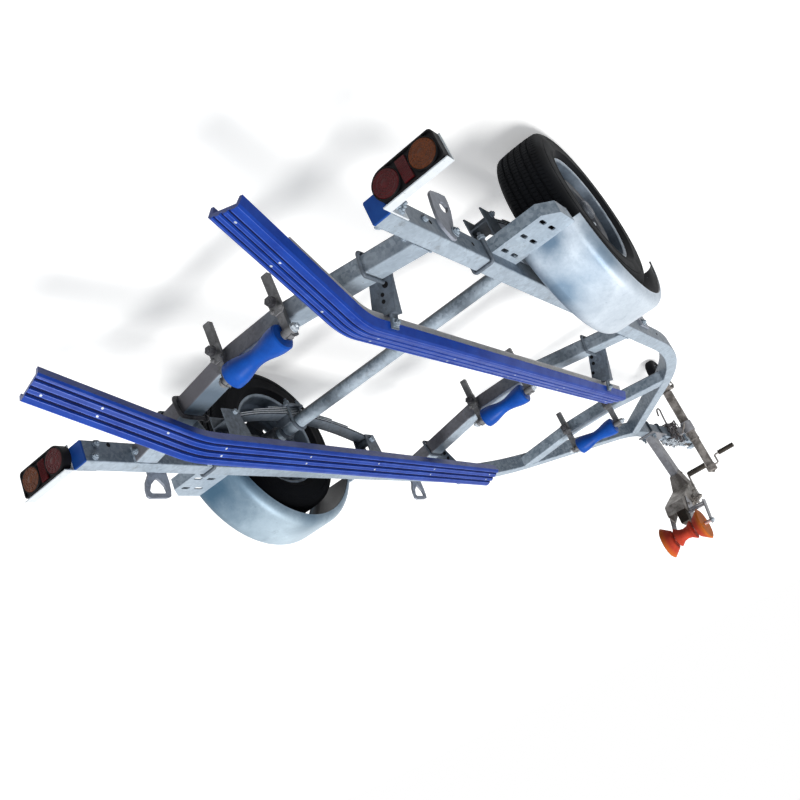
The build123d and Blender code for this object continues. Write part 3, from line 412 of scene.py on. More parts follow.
class Build:
    """Points and faces of one joined piece, in millimetres with y from the axle."""

    def __init__(self):
        self.points = []
        self.faces = []

    def skin(self, rings, capped=True, looped=False):
        """Joins equal closed rings of points into a tube."""
        first, count, rows = len(self.points), len(rings[0]), len(rings)
        for ring in rings:
            self.points.extend(ring)
        for row in range(rows if looped else rows - 1):
            near, far = first + row * count, first + (row + 1) % rows * count
            for i in range(count):
                j = (i + 1) % count
                self.faces.append((near + i, near + j, far + j, far + i))
        if capped and not looped:
            last = first + (rows - 1) * count
            self.faces.append(tuple(range(first + count - 1, first - 1, -1)))
            self.faces.append(tuple(range(last, last + count)))

    def turned(self, place, axis, profile, sides=24, turn=0.0, looped=False):
        """Solid of revolution from (distance along the axis, radius) pairs."""
        base = placed(place, axis, turn)
        angles = round_turn(sides)
        rings = []
        for h, r in profile:
            rings.append([base @ Vector((r * math.cos(a), r * math.sin(a), h)) for a in angles])
        self.skin(rings, looped=looped)

    def slab(self, outline, thickness, base):
        """Flat plate from (x, y) points in a frame, standing on it along its z."""
        self.skin([[base @ Vector((x, y, z)) for x, y in outline] for z in (0, thickness)])

    def block(self, low, high):
        """Box between two corners."""
        (x0, y0, z0), (x1, y1, z1) = low, high
        self.slab([(x0, y0), (x1, y0), (x1, y1), (x0, y1)], z1 - z0, Matrix.Translation((0, 0, z0)))

    def tube(self, path, radius, sides=8, looped=False, wobble=0.0):
        """Round bar along points; with wobble its radius wavers as a weld's does."""
        path = [Vector(p) for p in path]
        count = len(path)
        up = Vector(UP)
        rings = []
        for i, place in enumerate(path):
            before = path[i - 1] if i or looped else place
            after = path[(i + 1) % count] if i + 1 < count or looped else place
            ahead = (after - before).normalized()
            if abs(ahead.dot(up)) > 0.97:
                up = Vector(LEFT) if abs(ahead.x) < 0.9 else Vector(REAR)
            side = ahead.cross(up).normalized()
            up = side.cross(ahead).normalized()
            size = radius * (1 + wobble * math.sin(i * 2.4) + wobble * 0.6 * math.sin(i * 5.3 + 1))
            rings.append([
                place + side * (size * math.cos(a)) + up * (size * math.sin(a)) for a in round_turn(sides)
            ])
        self.skin(rings, looped=looped)

    def bead(self, start, end, radius=3.2, step=5.0):
        """Weld bead between two points."""
        start, end = Vector(start), Vector(end)
        count = max(3, int((end - start).length / step))
        self.tube([start.lerp(end, i / count) for i in range(count + 1)], radius, 8, wobble=0.14)

    def nut(self, place, axis, flats, height, washer=0.0, stub=4.0, turn=0.0):
        """Chamfered hexagon on a washer, with the end of its bolt standing out."""
        corner = flats / math.sqrt(3)
        if washer:
            edge = [(0, washer - 0.5), (0.6, washer), (2.0, washer), (2.5, washer - 0.6)]
            self.turned(place, axis, edge, 24)
        low = 2.0 if washer else 0.0
        top = low + height
        profile = [(low, corner * 0.94), (low + 1, corner), (top - 1.2, corner), (top, corner * 0.87)]
        self.turned(place, axis, profile, 6, turn)
        if stub:
            bolt = flats * 0.29
            turns = max(2, int(stub / 1.5))
            thread = [(top + stub * i / turns, bolt * (1.0 if i % 2 else 0.9)) for i in range(turns + 1)]
            self.turned(place, axis, [(low, bolt), *thread], 12)

    def dome(self, place, axis, radius, height):
        """Round bolt or rivet head."""
        curve = [(height * math.sin(a), radius * math.cos(a)) for a in (0.35, 0.75, 1.15, 1.45)]
        self.turned(place, axis, [(0, radius), *curve], 16)

    def mirrored(self):
        """The same points and faces on the trailer's other side."""
        other = Build()
        other.points = [Vector((-p[0], p[1], p[2])) for p in self.points]
        other.faces = [tuple(reversed(face)) for face in self.faces]
        return other

    def both_sides(self):
        """Adds the mirror image."""
        self.add(self.mirrored())

    def add(self, other):
        first = len(self.points)
        self.points.extend(other.points)
        self.faces.extend(tuple(first + i for i in face) for face in other.faces)

    def piece(self, name, slot, material=None, body="frame", crease=32.0):
        """Makes the mesh in metres, smooth but for its sharp edges, riding on a body."""
        mesh = bpy.data.meshes.new(name)
        points = [(x * MILLIMETRE, y * MILLIMETRE + AXLE_Y, z * MILLIMETRE) for x, y, z in self.points]
        mesh.from_pydata(points, [], self.faces)
        shape = bmesh.new()
        shape.from_mesh(mesh)
        bmesh.ops.recalc_face_normals(shape, faces=shape.faces)
        shape.to_mesh(mesh)
        shape.free()
        mesh.shade_smooth()
        mesh.set_sharp_from_angle(angle=math.radians(crease))
        mesh.materials.append(material or MATERIALS[slot])
        made = bpy.data.objects.new(name, mesh)
        bpy.context.scene.collection.objects.link(made)
        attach(made, body)
        return made


def circle(place, axis, radius, count):
    """Points round an axis."""
    base = placed(place, axis)
    return [base @ Vector((radius * math.cos(a), radius * math.sin(a), 0)) for a in round_turn(count)]


def smooth(points, steps=6):
    """Points of a smooth line through the given ones."""
    points = [Vector(p) for p in points]
    ends = [points[0] * 2 - points[1], *points, points[-1] * 2 - points[-2]]
    made = []
    for a, b, c, d in zip(ends, ends[1:], ends[2:], ends[3:]):
        for i in range(steps):
            t = i / steps
            made.append(0.5 * (2 * b + (c - a) * t + (2 * a - 5 * b + 4 * c - d) * t * t
                               + (3 * b - a - 3 * c + d) * t ** 3))
    return [*made, points[-1]]


# ---------------- wheels
TYRE_X, TREAD_BLOCKS, TREAD_HALF = 684.0, 120, 62
CROWN_RADIUS, CROWN_DROP, SIPE_DEPTH = 280.8, 3.2, 1.5
# Across the tread: distance from the tyre's middle and depth below the crown
TREAD = [
    (-62, 0), (-48, 0), (-47, 6), (-41, 6), (-40, 0), (-27, 0), (-26, 6), (-20, 6), (-19, 0), (-4, 0),
    (-3, 5), (3, 5), (4, 0), (19, 0), (20, 6), (26, 6), (27, 0), (40, 0), (41, 6), (47, 6), (48, 0),
    (62, 0),
]
# From shoulder to bead and back up inside: distance from the middle and radius
SIDEWALL = [
    (68, 274.5), (72, 270), (77, 262), (80, 254), (80.6, 247), (82, 246), (82.2, 243), (81, 242),
    (82.5, 232), (83, 218), (82.5, 207), (83.5, 205), (83.5, 200), (81.5, 198), (77, 190),
    (70, 183.2), (64, 183), (64, 174.6), (52, 174.6), (68, 205), (72, 240), (54, 264),
]
# Share of a block's length, and whether the sipe is cut there
BLOCK_STEPS = [(0.0, False), (0.4, False), (0.46, True), (0.54, True), (0.6, False)]
# Fittings: nuts' circle and seat, bore of the valve, balance weights, face of the rim
STUD_CIRCLE, NUT_SEAT, VALVE_X, VALVE_RADIUS, WEIGHT_RADIUS, RIM_FACE = 50, 718, 706, 158, 176, 753
CAP_RINGS = [
    [(716, 34), (719, 34), (721, 31.6), (722, 31.6)],
    [(738, 30.6), (740, 31.4), (743, 31.4), (745, 30.6)],
    [(751.8, 16), (753.2, 14), (753.4, 6)],
]
WHEELS = {"left": 1, "right": -1}


def on_wheel(x, radius, angle):
    """Point at a radius and an angle round the wheels' axis."""
    return Vector((x, radius * math.cos(angle), AXLE_Z + radius * math.sin(angle)))


def tyre_piece(name, side):
    """Road tyre: five grooves, sipes across the ribs between them, banded walls."""
    section = []
    for x, depth in TREAD:
        crown = CROWN_RADIUS - CROWN_DROP * (abs(x) / TREAD_HALF) ** 3
        section.append((x, crown - depth, depth == 0))
    section += [(x, radius, False) for x, radius in SIDEWALL]
    section += [(-x, radius, False) for x, radius in reversed(SIDEWALL)]
    made = Build()
    rings = []
    for block in range(TREAD_BLOCKS):
        for part, cut in BLOCK_STEPS:
            ring = []
            for x, radius, sipe in section:
                slant = math.radians(x * 0.05 + 1.1 * math.sin(x * 0.14))
                angle = 2 * math.pi * (block + part) / TREAD_BLOCKS + slant
                size = radius - SIPE_DEPTH if cut and sipe else radius
                ring.append(on_wheel(side * (TYRE_X + x), size, angle))
            rings.append(ring)
    made.skin(rings, looped=True)
    piece = made.piece("road_tyre_" + name, "tyre", body="wheel_" + name, crease=38)
    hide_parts("tyre_" + name)


def wheel_fittings(name, side):
    """Nuts on the studs, cap on the hub, valve, balance weights and the rim's bright edge."""
    nuts, valve, cap, edge = Build(), Build(), Build(), Build()
    lean = (1, 0, 0.35)
    for turn in (45, 135, 225, 315):
        place = on_wheel(NUT_SEAT, STUD_CIRCLE, math.radians(turn))
        nuts.nut(place, LEFT, 20.6, 11.5, 14.0, 0.0, turn)
        nuts.dome((NUT_SEAT + 13.5, place.y, place.z), LEFT, 8, 4)
    for profile in CAP_RINGS:
        cap.turned((0, 0, AXLE_Z), LEFT, profile, 48)
    stem = [(0, 6.5), (6, 6), (9, 4.5), (20, 4), (30, 3.6), (31, 2.6)]
    valve.turned((VALVE_X, 0, AXLE_Z + VALVE_RADIUS), lean, stem, 16)
    nuts.turned((733, 0, AXLE_Z + 167.5), lean, [(0, 4.3), (1, 4.6), (7, 4.6), (8.5, 3.8)], 12)
    for turn in (80, 205):
        a = math.radians(turn)
        nuts.tube([on_wheel(752, WEIGHT_RADIUS, a + step) for step in (-0.06, -0.02, 0.02, 0.06)], 2.6)
    lip = [(-0.6, 178.4), (0.5, 178.8), (0.7, 180.6), (0.3, 182.4), (-0.6, 182.6)]
    edge.turned((RIM_FACE, 0, AXLE_Z), LEFT, lip, 96, looped=True)
    kinds = [("nuts", nuts, "chain_steel"), ("cap", cap, "hub_grey"), ("valve", valve, "grip_black"),
             ("rim_edge", edge, "chain_steel")]
    for kind, build, slot in kinds:
        build = build if side > 0 else build.mirrored()
        build.piece(f"wheel_{kind}_{name}", slot, body="wheel_" + name)


for wheel, wheel_side in WHEELS.items():
    tyre_piece(wheel, wheel_side)
    wheel_fittings(wheel, wheel_side)


# ---------------- bolts, nuts and clamps on the frame
# place, axis, width across flats, height, washer radius, stub: drawn on the left and mirrored
FRAME_NUTS = [
    ((504, 492, 411.5), DOWN, 18.6, 8.4, 11, 0),
    ((564, 492, 411.5), DOWN, 18.6, 8.4, 11, 0),
    ((559, 904, 460), LEFT, 17, 8, 11, 5),
    ((563, 888, 440), LEFT, 17, 8, 11, 6),
    ((563, 914, 450), LEFT, 15, 7, 9, 4),
    ((509, 917, 462), RIGHT, 15, 7, 11, 4),
    ((509, 903, 423), RIGHT, 15, 7, 11, 4),
    ((559, 787, 439), LEFT, 15, 6, 10, 0),
    ((495, 787.5, 447), REAR, 14, 6, 10, 3),
    ((620, 440, 437.5), DOWN, 13, 6, 9, 3),
    ((565, -413, 325), LEFT, 22, 9, 15, 5),
    ((503, -413, 325), RIGHT, 22, 9, 15, 0),
    ((565, 318, 272), LEFT, 16, 7, 10, 4),
    ((503, 318, 272), RIGHT, 16, 7, 10, 0),
    ((620, -345, 441.5), UP, 15, 6, 10, 0),
]
AXLE_NUTS = [(534 + x, y, 212.5) for x in (-32, 32) for y in (-30, 30)]
# Ends of the bunk brackets' U-bolts: the second of each pair is lower
BRACKET_NUTS = [(362, 707.5, 462), (370.96, 707.5, 398), (374, -657.5, 460), (382.96, -657.5, 396)]
# side, y, z and washer radius
LUG_BOLTS = [(1, 661, 443, 15), (1, -748, 425, 15), (-1, 670, 452, 14), (-1, -711, 452, 14)]
POST_NUTS = [(x, y, 483) for y in (-2215, -2390) for x in (-30, 30)]


def frame_fastenings():
    """Nuts and bolts of the frame, both sides alike but for the lugs'."""
    made = Build()
    for place, axis, flats, height, washer, stub in FRAME_NUTS:
        made.nut(place, axis, flats, height, washer, stub)
    for place in AXLE_NUTS:
        made.nut(place, DOWN, 18.6, 10.7, 0, 0)
    for place in BRACKET_NUTS:
        made.nut(place, AHEAD, 18.6, 8.4, 0, 0)
    made.both_sides()
    for side, y, z, washer in LUG_BOLTS:
        made.nut((side * 567, y, z), (side, 0, 0), 19, 6, washer, 4)
    for place in POST_NUTS:
        made.nut(place, UP, 18.6, 8.4, 10, 14)
    made.piece("frame_nuts", "galvanised")


BUNK_VERTEX, BUNK_RADIUS, BUNK_ORIGIN = 797.0, 235.0, (290, 0, 587)
BUNK_TILT, BUNK_DROOP = math.radians(20.1), math.radians(24.1)
BUNK_PITCH, BUNK_TOE = math.radians(-0.96), math.radians(0.8)


def bunk_point(side, across, along, down):
    """Point on a bunk: across the skid, along it as y on its straight run, and below its top."""
    over = Vector((math.cos(BUNK_TILT), 0, math.sin(BUNK_TILT)))
    ahead, below = Vector(REAR), Vector((math.sin(BUNK_TILT), 0, -math.cos(BUNK_TILT)))
    run = BUNK_RADIUS * math.tan(BUNK_DROOP / 2)
    bend = BUNK_DROOP * min(max((along - BUNK_VERTEX + run) / (2 * run), 0), 1)
    if bend < BUNK_DROOP:
        start = min(along, BUNK_VERTEX - run)
        origin = ahead * start + (ahead * math.sin(bend) + below * (1 - math.cos(bend))) * BUNK_RADIUS
    else:
        tail = ahead * math.cos(BUNK_DROOP) + below * math.sin(BUNK_DROOP)
        origin = ahead * BUNK_VERTEX + tail * (along - BUNK_VERTEX)
    under = below * math.cos(bend) - ahead * math.sin(bend)
    turn = Matrix.Rotation(BUNK_PITCH, 4, "X") @ Matrix.Rotation(BUNK_TOE, 4, "Z")
    place = turn @ (origin + over * across + under * down) + Vector(BUNK_ORIGIN)
    return Vector((side * place.x, place.y, place.z))


# Strips along the skids: from and to across them, and the heights below the skid's top of either face
# Painted shade: dark strips in the grooves
GROOVE_SHADE = [(-29.8, -25.2, 3.5, 3.0), (-7.8, -2.2, 4.0, 3.5), (13.2, 18.8, 4.0, 3.5)]
RIDGES = [
    (-34.5, -32.4, 0.75), (-22.6, -20.6, 0.42), (-12.4, -10.3, 0.06), (-0.1, 1.6, 0.0), (9.0, 10.9, 0.0),
    (21.4, 23.4, 0.5), (38.6, 40.2, 3.6),
]
# Painted highlights: pale strips along the ridges' edges
RIDGE_HIGHLIGHTS = [(near, far, height - 0.25, height + 0.2) for near, far, height in RIDGES]


def bunk_strips(name, strips, front, rear, material):
    """Thin strips that follow both skids: painted shade in the grooves, or painted highlights along the
    ridges.
    """
    made = Build()
    stations = [front, -400, 0, 400, 740, *range(750, 850, 10), 860, 1050, rear]
    for side in (-1, 1):
        for near, far, first, second in strips:
            corners = [(near, first), (far, first), (far, second), (near, second)]
            made.skin([[bunk_point(side, u, along, v) for u, v in corners] for along in stations])
    made.piece(name, "skid_blue", material)


# Place along the bunk, and the skid's ridges that have a screw there
BOTH = (-19.5, 6)
SCREWS = [(along, BOTH) for along in (-790, -359, -2, 355, 712, 1075)]
SCREWS += [(898, BOTH[:1]), (1215, BOTH[1:])]
CLIP = [(-11, -11), (11, -11), (11, 11), (-11, 11)]


def bunk_fastenings():
    """Screws with pale washers in the skids' grooves, and bolts through the clips."""
    screws, bolts = Build(), Build()
    for side in (-1, 1):
        for along, ridges in SCREWS:
            for across in ridges:
                place = bunk_point(side, across, along, 0.4)
                axis = bunk_point(side, across, along, -0.6) - place
                screws.turned(place, axis, [(0, 3.4), (0.4, 3.4), (0.7, 3.0)], 20)
                screws.dome(place + axis * 0.6, axis, 2.1, 0.8)
        for face in (712.5, -652.5):
            place = bunk_point(side, 50.5, face - 15, 31)
            axis = bunk_point(side, 51.5, face - 15, 31) - place
            bolts.slab(CLIP, 2.5, placed(place, axis))
            bolts.nut(place + axis * 2.5, axis, 15, 7, 0, 4)
    screws.piece("bunk_screws", "chain_steel")
    bolts.piece("bunk_bolts", "galvanised")


# y of the roller, z of its shaft, z of the clamp bolts, and the sides on which the shaft's nut shows
KEEL_STEMS = [(800.5, 459, 372, (1,)), (-564.5, 462, 372, (-1, 1)), (-1406.5, 535, 426, (-1, 1))]
STEM_X = 112
CLAMP_PLATE = [(-20, -24), (20, -24), (20, 16), (12, 24), (-12, 24), (-20, 16)]
SHAFT_CHEEK = [(-14, -10), (14, -10), (14, 12), (8, 22), (-8, 22), (-14, 12)]


def roller_fastenings():
    """Nuts on the rollers' shafts, clamp plates round the cross-members and their knobbed bolts."""
    bright, dark, plates = Build(), Build(), Build()
    for y, z, clamp, nut_sides in KEEL_STEMS:
        for side in nut_sides:
            bright.nut((side * 131, y, z), (side, 0, 0), 21, 9, 14, 6)
        for side in (-1, 1):
            x = side * STEM_X
            plates.slab(CLAMP_PLATE, 5, placed((x, y + 3, clamp + 8), REAR))
            for step in (-14, 14):
                plates.nut((x + step, y + 8, clamp + 20), REAR, 11, 5, 0, 3)
            dark.turned((x, y + 8, clamp), REAR, [(0, 6.5), (16, 6.5)], 14)
            dark.turned((x, y + 16, clamp), REAR, [(0, 15), (2.6, 15), (3, 12)], 24)
            dark.nut((x, y + 19, clamp), REAR, 23, 13, 0, 3)
            for inner in (STEM_X - 10.5, STEM_X + 7.5):
                plates.slab(SHAFT_CHEEK, 3, placed((side * inner, y - 5, z), (side, 0, 0), 90))
    bright.piece("roller_shaft_nuts", "chain_steel")
    plates.piece("roller_clamp_plates", "galvanised", STEM_ZINC)
    dark.piece("roller_clamp_bolts", "dark_steel", KNOB_STEEL)


# Tie-down lugs: outline and eye as (y, z)
HANGING_LUG = [
    (671, 470), (686, 472), (699, 461), (714, 445), (720, 428), (716, 403), (706, 368), (691, 331),
    (678, 318), (635, 311), (601, 309), (603, 331), (614, 363), (633, 396), (652, 425), (662, 450),
]
HANGING_EYE = [
    (650, 381), (663, 382), (671, 374), (667, 358), (650, 343), (634, 342), (624, 354), (633, 368),
]
STANDING_LUG = [
    (646, 551), (660, 555), (722, 556), (731, 550), (730, 529), (722, 505), (704, 480), (702, 436),
    (638, 436), (636, 480), (636, 505), (640, 534),
]
STANDING_EYE = [
    (655, 535), (664, 541), (712, 541), (717, 534), (706, 513), (685, 496), (677, 494), (669, 500),
    (657, 516),
]
PLAIN_LUG = [(618, 441), (702, 441), (702, 400), (684, 345), (640, 345), (618, 380)]
PLAIN_EYE = [(660 + 15 * math.cos(a), 372 + 15 * math.sin(a)) for a in round_turn(16)]
# side, shift along y, outline and eye
LUGS = [
    (1, 0, HANGING_LUG, HANGING_EYE),
    (-1, 0, STANDING_LUG, STANDING_EYE),
    (-1, -1381, STANDING_LUG, STANDING_EYE),
    (1, -1418, PLAIN_LUG, PLAIN_EYE),
]
RAIL_FACE, LUG_FACE = 559.0, 566.6


def reach(outline, centre, angle):
    """Distance from a centre to a closed outline in one direction."""
    ahead = (math.cos(angle), math.sin(angle))
    farthest = 0.0
    for start, end in zip(outline, outline[1:] + outline[:1]):
        away = (start[0] - centre[0], start[1] - centre[1])
        edge = (end[0] - start[0], end[1] - start[1])
        turn = ahead[0] * edge[1] - ahead[1] * edge[0]
        if abs(turn) < 1e-9:
            continue
        along = (away[0] * edge[1] - away[1] * edge[0]) / turn
        share = (away[0] * ahead[1] - away[1] * ahead[0]) / turn
        if along > 0 and -1e-6 <= share <= 1.000001:
            farthest = max(farthest, along)
    return farthest


def lug_plates():
    """Plates with an eye on the rails' outer faces."""
    made = Build()
    for side, shift, outline, eye in LUGS:
        centre = [sum(point[i] for point in eye) / len(eye) for i in (0, 1)]
        corners = [math.atan2(z - centre[1], y - centre[0]) for y, z in outline + eye]
        angles = sorted(corners + [a - math.pi + 0.01 for a in round_turn(48)])
        rings = []
        for shape, x in ((outline, LUG_FACE), (outline, RAIL_FACE), (eye, RAIL_FACE), (eye, LUG_FACE)):
            ring = []
            for a in angles:
                far = reach(shape, centre, a)
                y, z = centre[0] + far * math.cos(a) + shift, centre[1] + far * math.sin(a)
                ring.append(Vector((side * x, y, z)))
            rings.append(ring)
        made.skin(rings, looped=True)
    plates = made.piece("lug_plates", "galvanised", LUG_ZINC)
    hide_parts("tie_down_lugs")


def rear_clamp():
    """Round U-bolt reaching behind the rear cross-member under the right bunk."""
    made = Build()
    bow = [
        (-296, 714, 455), (-296, 778, 455), (-297, 793, 448), (-300, 796, 424), (-304, 793, 399),
        (-306, 778, 391), (-304, 714, 391),
    ]
    made.tube(smooth(bow), 6.5, 12)
    for place in ((-304, 712, 391), (-296, 712, 455)):
        made.nut(place, AHEAD, 17, 8, 11, 3)
    made.piece("rear_clamp_bow", "galvanised", KNOB_STEEL)


# Leaves of the springs: the middle of their arc, its radius, a leaf's thickness, and y of each leaf's ends
LEAF_CENTRE_Z, LEAF_RADIUS, LEAF, LEAF_STEPS = 1526.0, 1276.0, 7.0, 24
LEAF_ENDS = [(-396, 336), (-297, 282), (-212, 207), (-127, 127)]


def leaf_edges():
    """Dark gaps between the springs' leaves and painted highlights along the arrises beside them."""
    # the arrises are painted highlights in the palest zinc
    strips = [("spring_leaf_gaps", HOLE_BLACK, -0.6, 1.0), ("spring_leaf_highlights", ROOF_ZINC, 4.6, 6.4)]
    for name, material, inner, outer in strips:
        made = Build()
        for row, (first, last) in enumerate(LEAF_ENDS):
            top = LEAF_RADIUS + LEAF * row
            low, high = top + inner, top + outer
            for x in (508.7, 558.7):
                corners = [(x, low), (x + 0.6, low), (x + 0.6, high), (x, high)]
                rings = []
                for step in range(LEAF_STEPS + 1):
                    a = math.asin((first + (last - first) * step / LEAF_STEPS) / top)
                    along, down = math.sin(a), math.cos(a)
                    rings.append([Vector((u, v * along, LEAF_CENTRE_Z - v * down)) for u, v in corners])
                made.skin(rings)
        made.both_sides()
        made.piece(name, "galvanised", material)


frame_fastenings()
lug_plates()
rear_clamp()
leaf_edges()
bunk_strips("bunk_groove_shade", GROOVE_SHADE, -845, 1246, GROOVE_SHADE_BLUE)
bunk_strips("bunk_ridge_highlights", RIDGE_HIGHLIGHTS, -843, 1244, HIGHLIGHT_BLUE)
bunk_fastenings()
roller_fastenings()


# ---------------- welds
def welds():
    """Beads where the cross-members, hangers, post and coupling meet what carries them."""
    made = Build()
    low, high = 428, 476
    for x in (-508, 508):
        for y in (750, -615):
            front, rear = y - 38, y + 38
            made.bead((x, front, low), (x, front, high))
            made.bead((x, rear, low), (x, rear, high))
            made.bead((x, front, low), (x, rear, low))
            made.bead((x, front, 477), (x, rear, 477), 2.2)
    for x in (-564.5, -503.5, 503.5, 564.5):
        made.bead((x, -450, 412), (x, -376, 412), 2.4)
        made.bead((x, 266, 412), (x, 368, 412), 2.4)
    for x in (-21.5, 21.5):
        made.bead((x, -2279, 484), (x, -2199, 484))
    for y in (-2280, -2198):
        made.bead((-20, y, 484), (20, y, 484))
    made.bead((-32, -2850, 484), (32, -2850, 484), 2.6)
    made.piece("weld_beads", "galvanised")


welds()


# ---------------- lamps
LENS_PROFILE = [
    (0, 34), (6.2, 34), (8, 32.4), (8.4, 29), (8.0, 28), (8.8, 27), (8.4, 24), (8.0, 23.4), (9.0, 20.5),
    (8.6, 17.5), (8.2, 17), (9.2, 15.5), (8.8, 12), (8.4, 11.5), (9.6, 8), (10, 2),
]
RING_PROFILE = [(0, 36.4), (7.6, 36.4), (8.4, 35.9), (8.4, 35.2), (7.6, 34.4), (0, 34.2)]
AMBER_X, RED_X, LENS_FACE, LENS_Z = 692, 590, 971, 431


def lamps():
    """Ribbed round lenses, the ribbed strip between them and their dark rings."""
    amber, red, rings = Build(), Build(), Build()
    for x, lens_build in ((AMBER_X, amber), (RED_X, red)):
        lens_build.turned((x, LENS_FACE, LENS_Z), REAR, LENS_PROFILE, 48)
        rings.turned((x, LENS_FACE, LENS_Z), REAR, RING_PROFILE, 48, looped=True)
        for spoke in range(12):
            a = math.radians(30 * spoke)
            ends = [(x + r * math.cos(a), LENS_FACE + 8.7, LENS_Z + r * math.sin(a)) for r in (9, 31)]
            lens_build.tube(ends, 0.7, 6)
    red.block((628, LENS_FACE, 402), (654, 976.4, 460))
    for rib in range(8):
        x = 630 + 3.2 * rib
        red.tube([(x, 976.3, 403), (x, 976.8, LENS_Z), (x, 976.3, 459)], 1.1, 6)
    kinds = [("amber", amber, "lens_amber"), ("red", red, "lens_red"), ("rings", rings, "lamp_black")]
    for name, build, slot in kinds:
        build.both_sides()
        piece = build.piece("lamp_" + name, slot)
        if build is not rings:
            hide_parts(f"lamp_{name}_lenses")


lamps()


# ---------------- winch, strap and bow roller
REEL, BOW_PIN_Y, BOW_PIN_Z = (0, -2190, 878), -1913, 1037
RATCHET_X, RATCHET_TEETH = 58, 18
STRAP_LAYERS = [
    [(-28, 30), (-28, 38.6), (28, 38.6), (28, 30)],
    [(-28.6, 33), (-28.6, 34), (28.6, 34), (28.6, 33)],
    [(-28.6, 36), (-28.6, 37), (28.6, 37), (28.6, 36)],
]
PAWL = [(-6, -8), (10, -10), (34, 2), (36, 10), (24, 8), (4, 6)]
# y and z of the bolts in the head's sides
HEAD_BOLTS = [(-2305, 800), (-2255, 832), (-2120, 900), (-2030, 905)]


def winch():
    """Strap on the reel, ratchet wheel, pawl, bolts of the head and nuts of the bow roller's pin."""
    strap, steel, pin = Build(), Build(), Build()
    y, z = REEL[1:]
    for layer in STRAP_LAYERS:
        strap.turned(REEL, LEFT, layer, 40, looped=True)
    teeth = []
    for a in round_turn(RATCHET_TEETH):
        teeth += [(26 * math.cos(a), 26 * math.sin(a)), (31 * math.cos(a + 0.22), 31 * math.sin(a + 0.22))]
    steel.slab(teeth, 6, placed((RATCHET_X, y, z), LEFT))
    steel.slab(PAWL, 5, placed((RATCHET_X, -2228, 862), LEFT, 40))
    steel.nut((RATCHET_X + 2, -2228, 862), LEFT, 13, 5, 8, 3)
    steel.nut((79, y, z), LEFT, 20, 9, 13, 5)
    for side in (-1, 1):
        for y, z in HEAD_BOLTS:
            steel.nut((side * 50, y, z), (side, 0, 0), 14, 6, 9, 3)
        steel.nut((side * 22, -2318, 712), (side, 0, 0), 15, 7, 10, 4)
    pin.turned((105.2, BOW_PIN_Y, BOW_PIN_Z), LEFT, [(0, 8.04), (39.8, 8.04), (39.9, 7)], 24)
    pin.nut((142.6, BOW_PIN_Y, BOW_PIN_Z), LEFT, 19, 7, 14, 4)
    pin.nut((-105.2, BOW_PIN_Y, BOW_PIN_Z), RIGHT, 19, 7, 15, 2)
    pin.piece("bow_pin_fittings", "chain_steel", body="roller_bow")
    strap.piece("winch_strap", "grip_black", STRAP_BLACK)
    steel.piece("winch_fittings", "dark_steel")


def ribbed_grip(name, place, length, radius):
    """Rubber sleeve with raised rings and a rounded end, along X."""
    made = Build()
    profile = [(0, radius - 1)]
    rings = int(length / 9)
    low, high = radius + 0.4, radius + 1.6
    for ring in range(rings):
        at = length * ring / rings
        profile += [(at + 1, low), (at + 2, high), (at + 6, high), (at + 7, low)]
    profile += [(length - 1.0, radius + 0.6), (length - 0.2, radius * 0.7)]
    made.turned(place, LEFT, profile, 24)
    made.piece(name, "grip_black")


winch()
ribbed_grip("winch_grip", (79.2, -2234, 752), 97.6, 12.8)
ribbed_grip("crank_grip", (174.2, -2700, 654), 93.6, 11.8)


# ---------------- chain
LINK_BAR, LINK_LONG, LINK_WIDE = 3.0, 31.0, 18.0


def link(build, place, ahead, roll):
    """One oval link, its long way ahead."""
    base = placed(place, ahead, roll)
    half, bend = (LINK_LONG - LINK_WIDE) / 2, (LINK_WIDE - 2 * LINK_BAR) / 2
    path = []
    for end in (1, -1):
        for i in range(7):
            a = math.pi * i / 6
            path.append(base @ Vector((end * bend * math.cos(a), 0, end * (half + bend * math.sin(a)))))
    build.tube(path, LINK_BAR, 7, looped=True)


def linked(build, corners, roll=0.0):
    """Chain of links along straight runs between corners."""
    pitch = LINK_LONG - 2 * LINK_BAR - 0.6
    runs = [Vector(c) for c in corners]
    lengths = [(b - a).length for a, b in zip(runs, runs[1:])]
    total, at, count = sum(lengths), pitch / 2, 0
    while at < total:
        rest = at
        for start, end, length in zip(runs, runs[1:], lengths):
            if rest <= length:
                link(build, start.lerp(end, rest / length), end - start, roll + 90 * (count % 2))
                break
            rest -= length
        at += pitch
        count += 1


# Slack of the chain on top of the drawbar, and loops that lie on it: y and lean
HEAP = [
    (18, -2836, 487), (-22, -2790, 489), (24, -2745, 492), (-24, -2700, 490), (26, -2650, 494),
    (-22, -2600, 492), (24, -2552, 494), (-20, -2505, 491), (20, -2460, 488),
]
LOOPS = [(-2752, 12), (-2664, -16), (-2590, 20), (-2512, -10)]
# Turns round the drawbar: y and how far down they sag; side and top of the turns
COILS = [
    (-2768, 368), (-2742, 376), (-2716, 384), (-2690, 392), (-2662, 399), (-2630, 403), (-2590, 403),
    (-2546, 403),
]
COIL_SIDE, COIL_TOP = 34.0, 486.0
HOOK = [
    (44, -2500, 486), (50, -2500, 440), (51, -2500, 392), (54, -2500, 350), (56, -2500, 328),
    (52, -2500, 315), (43, -2500, 316), (37, -2500, 330), (33, -2500, 352),
]
LATCH = [(38, -2524, 486), (42, -2522, 440), (47, -2512, 404), (51, -2502, 380)]


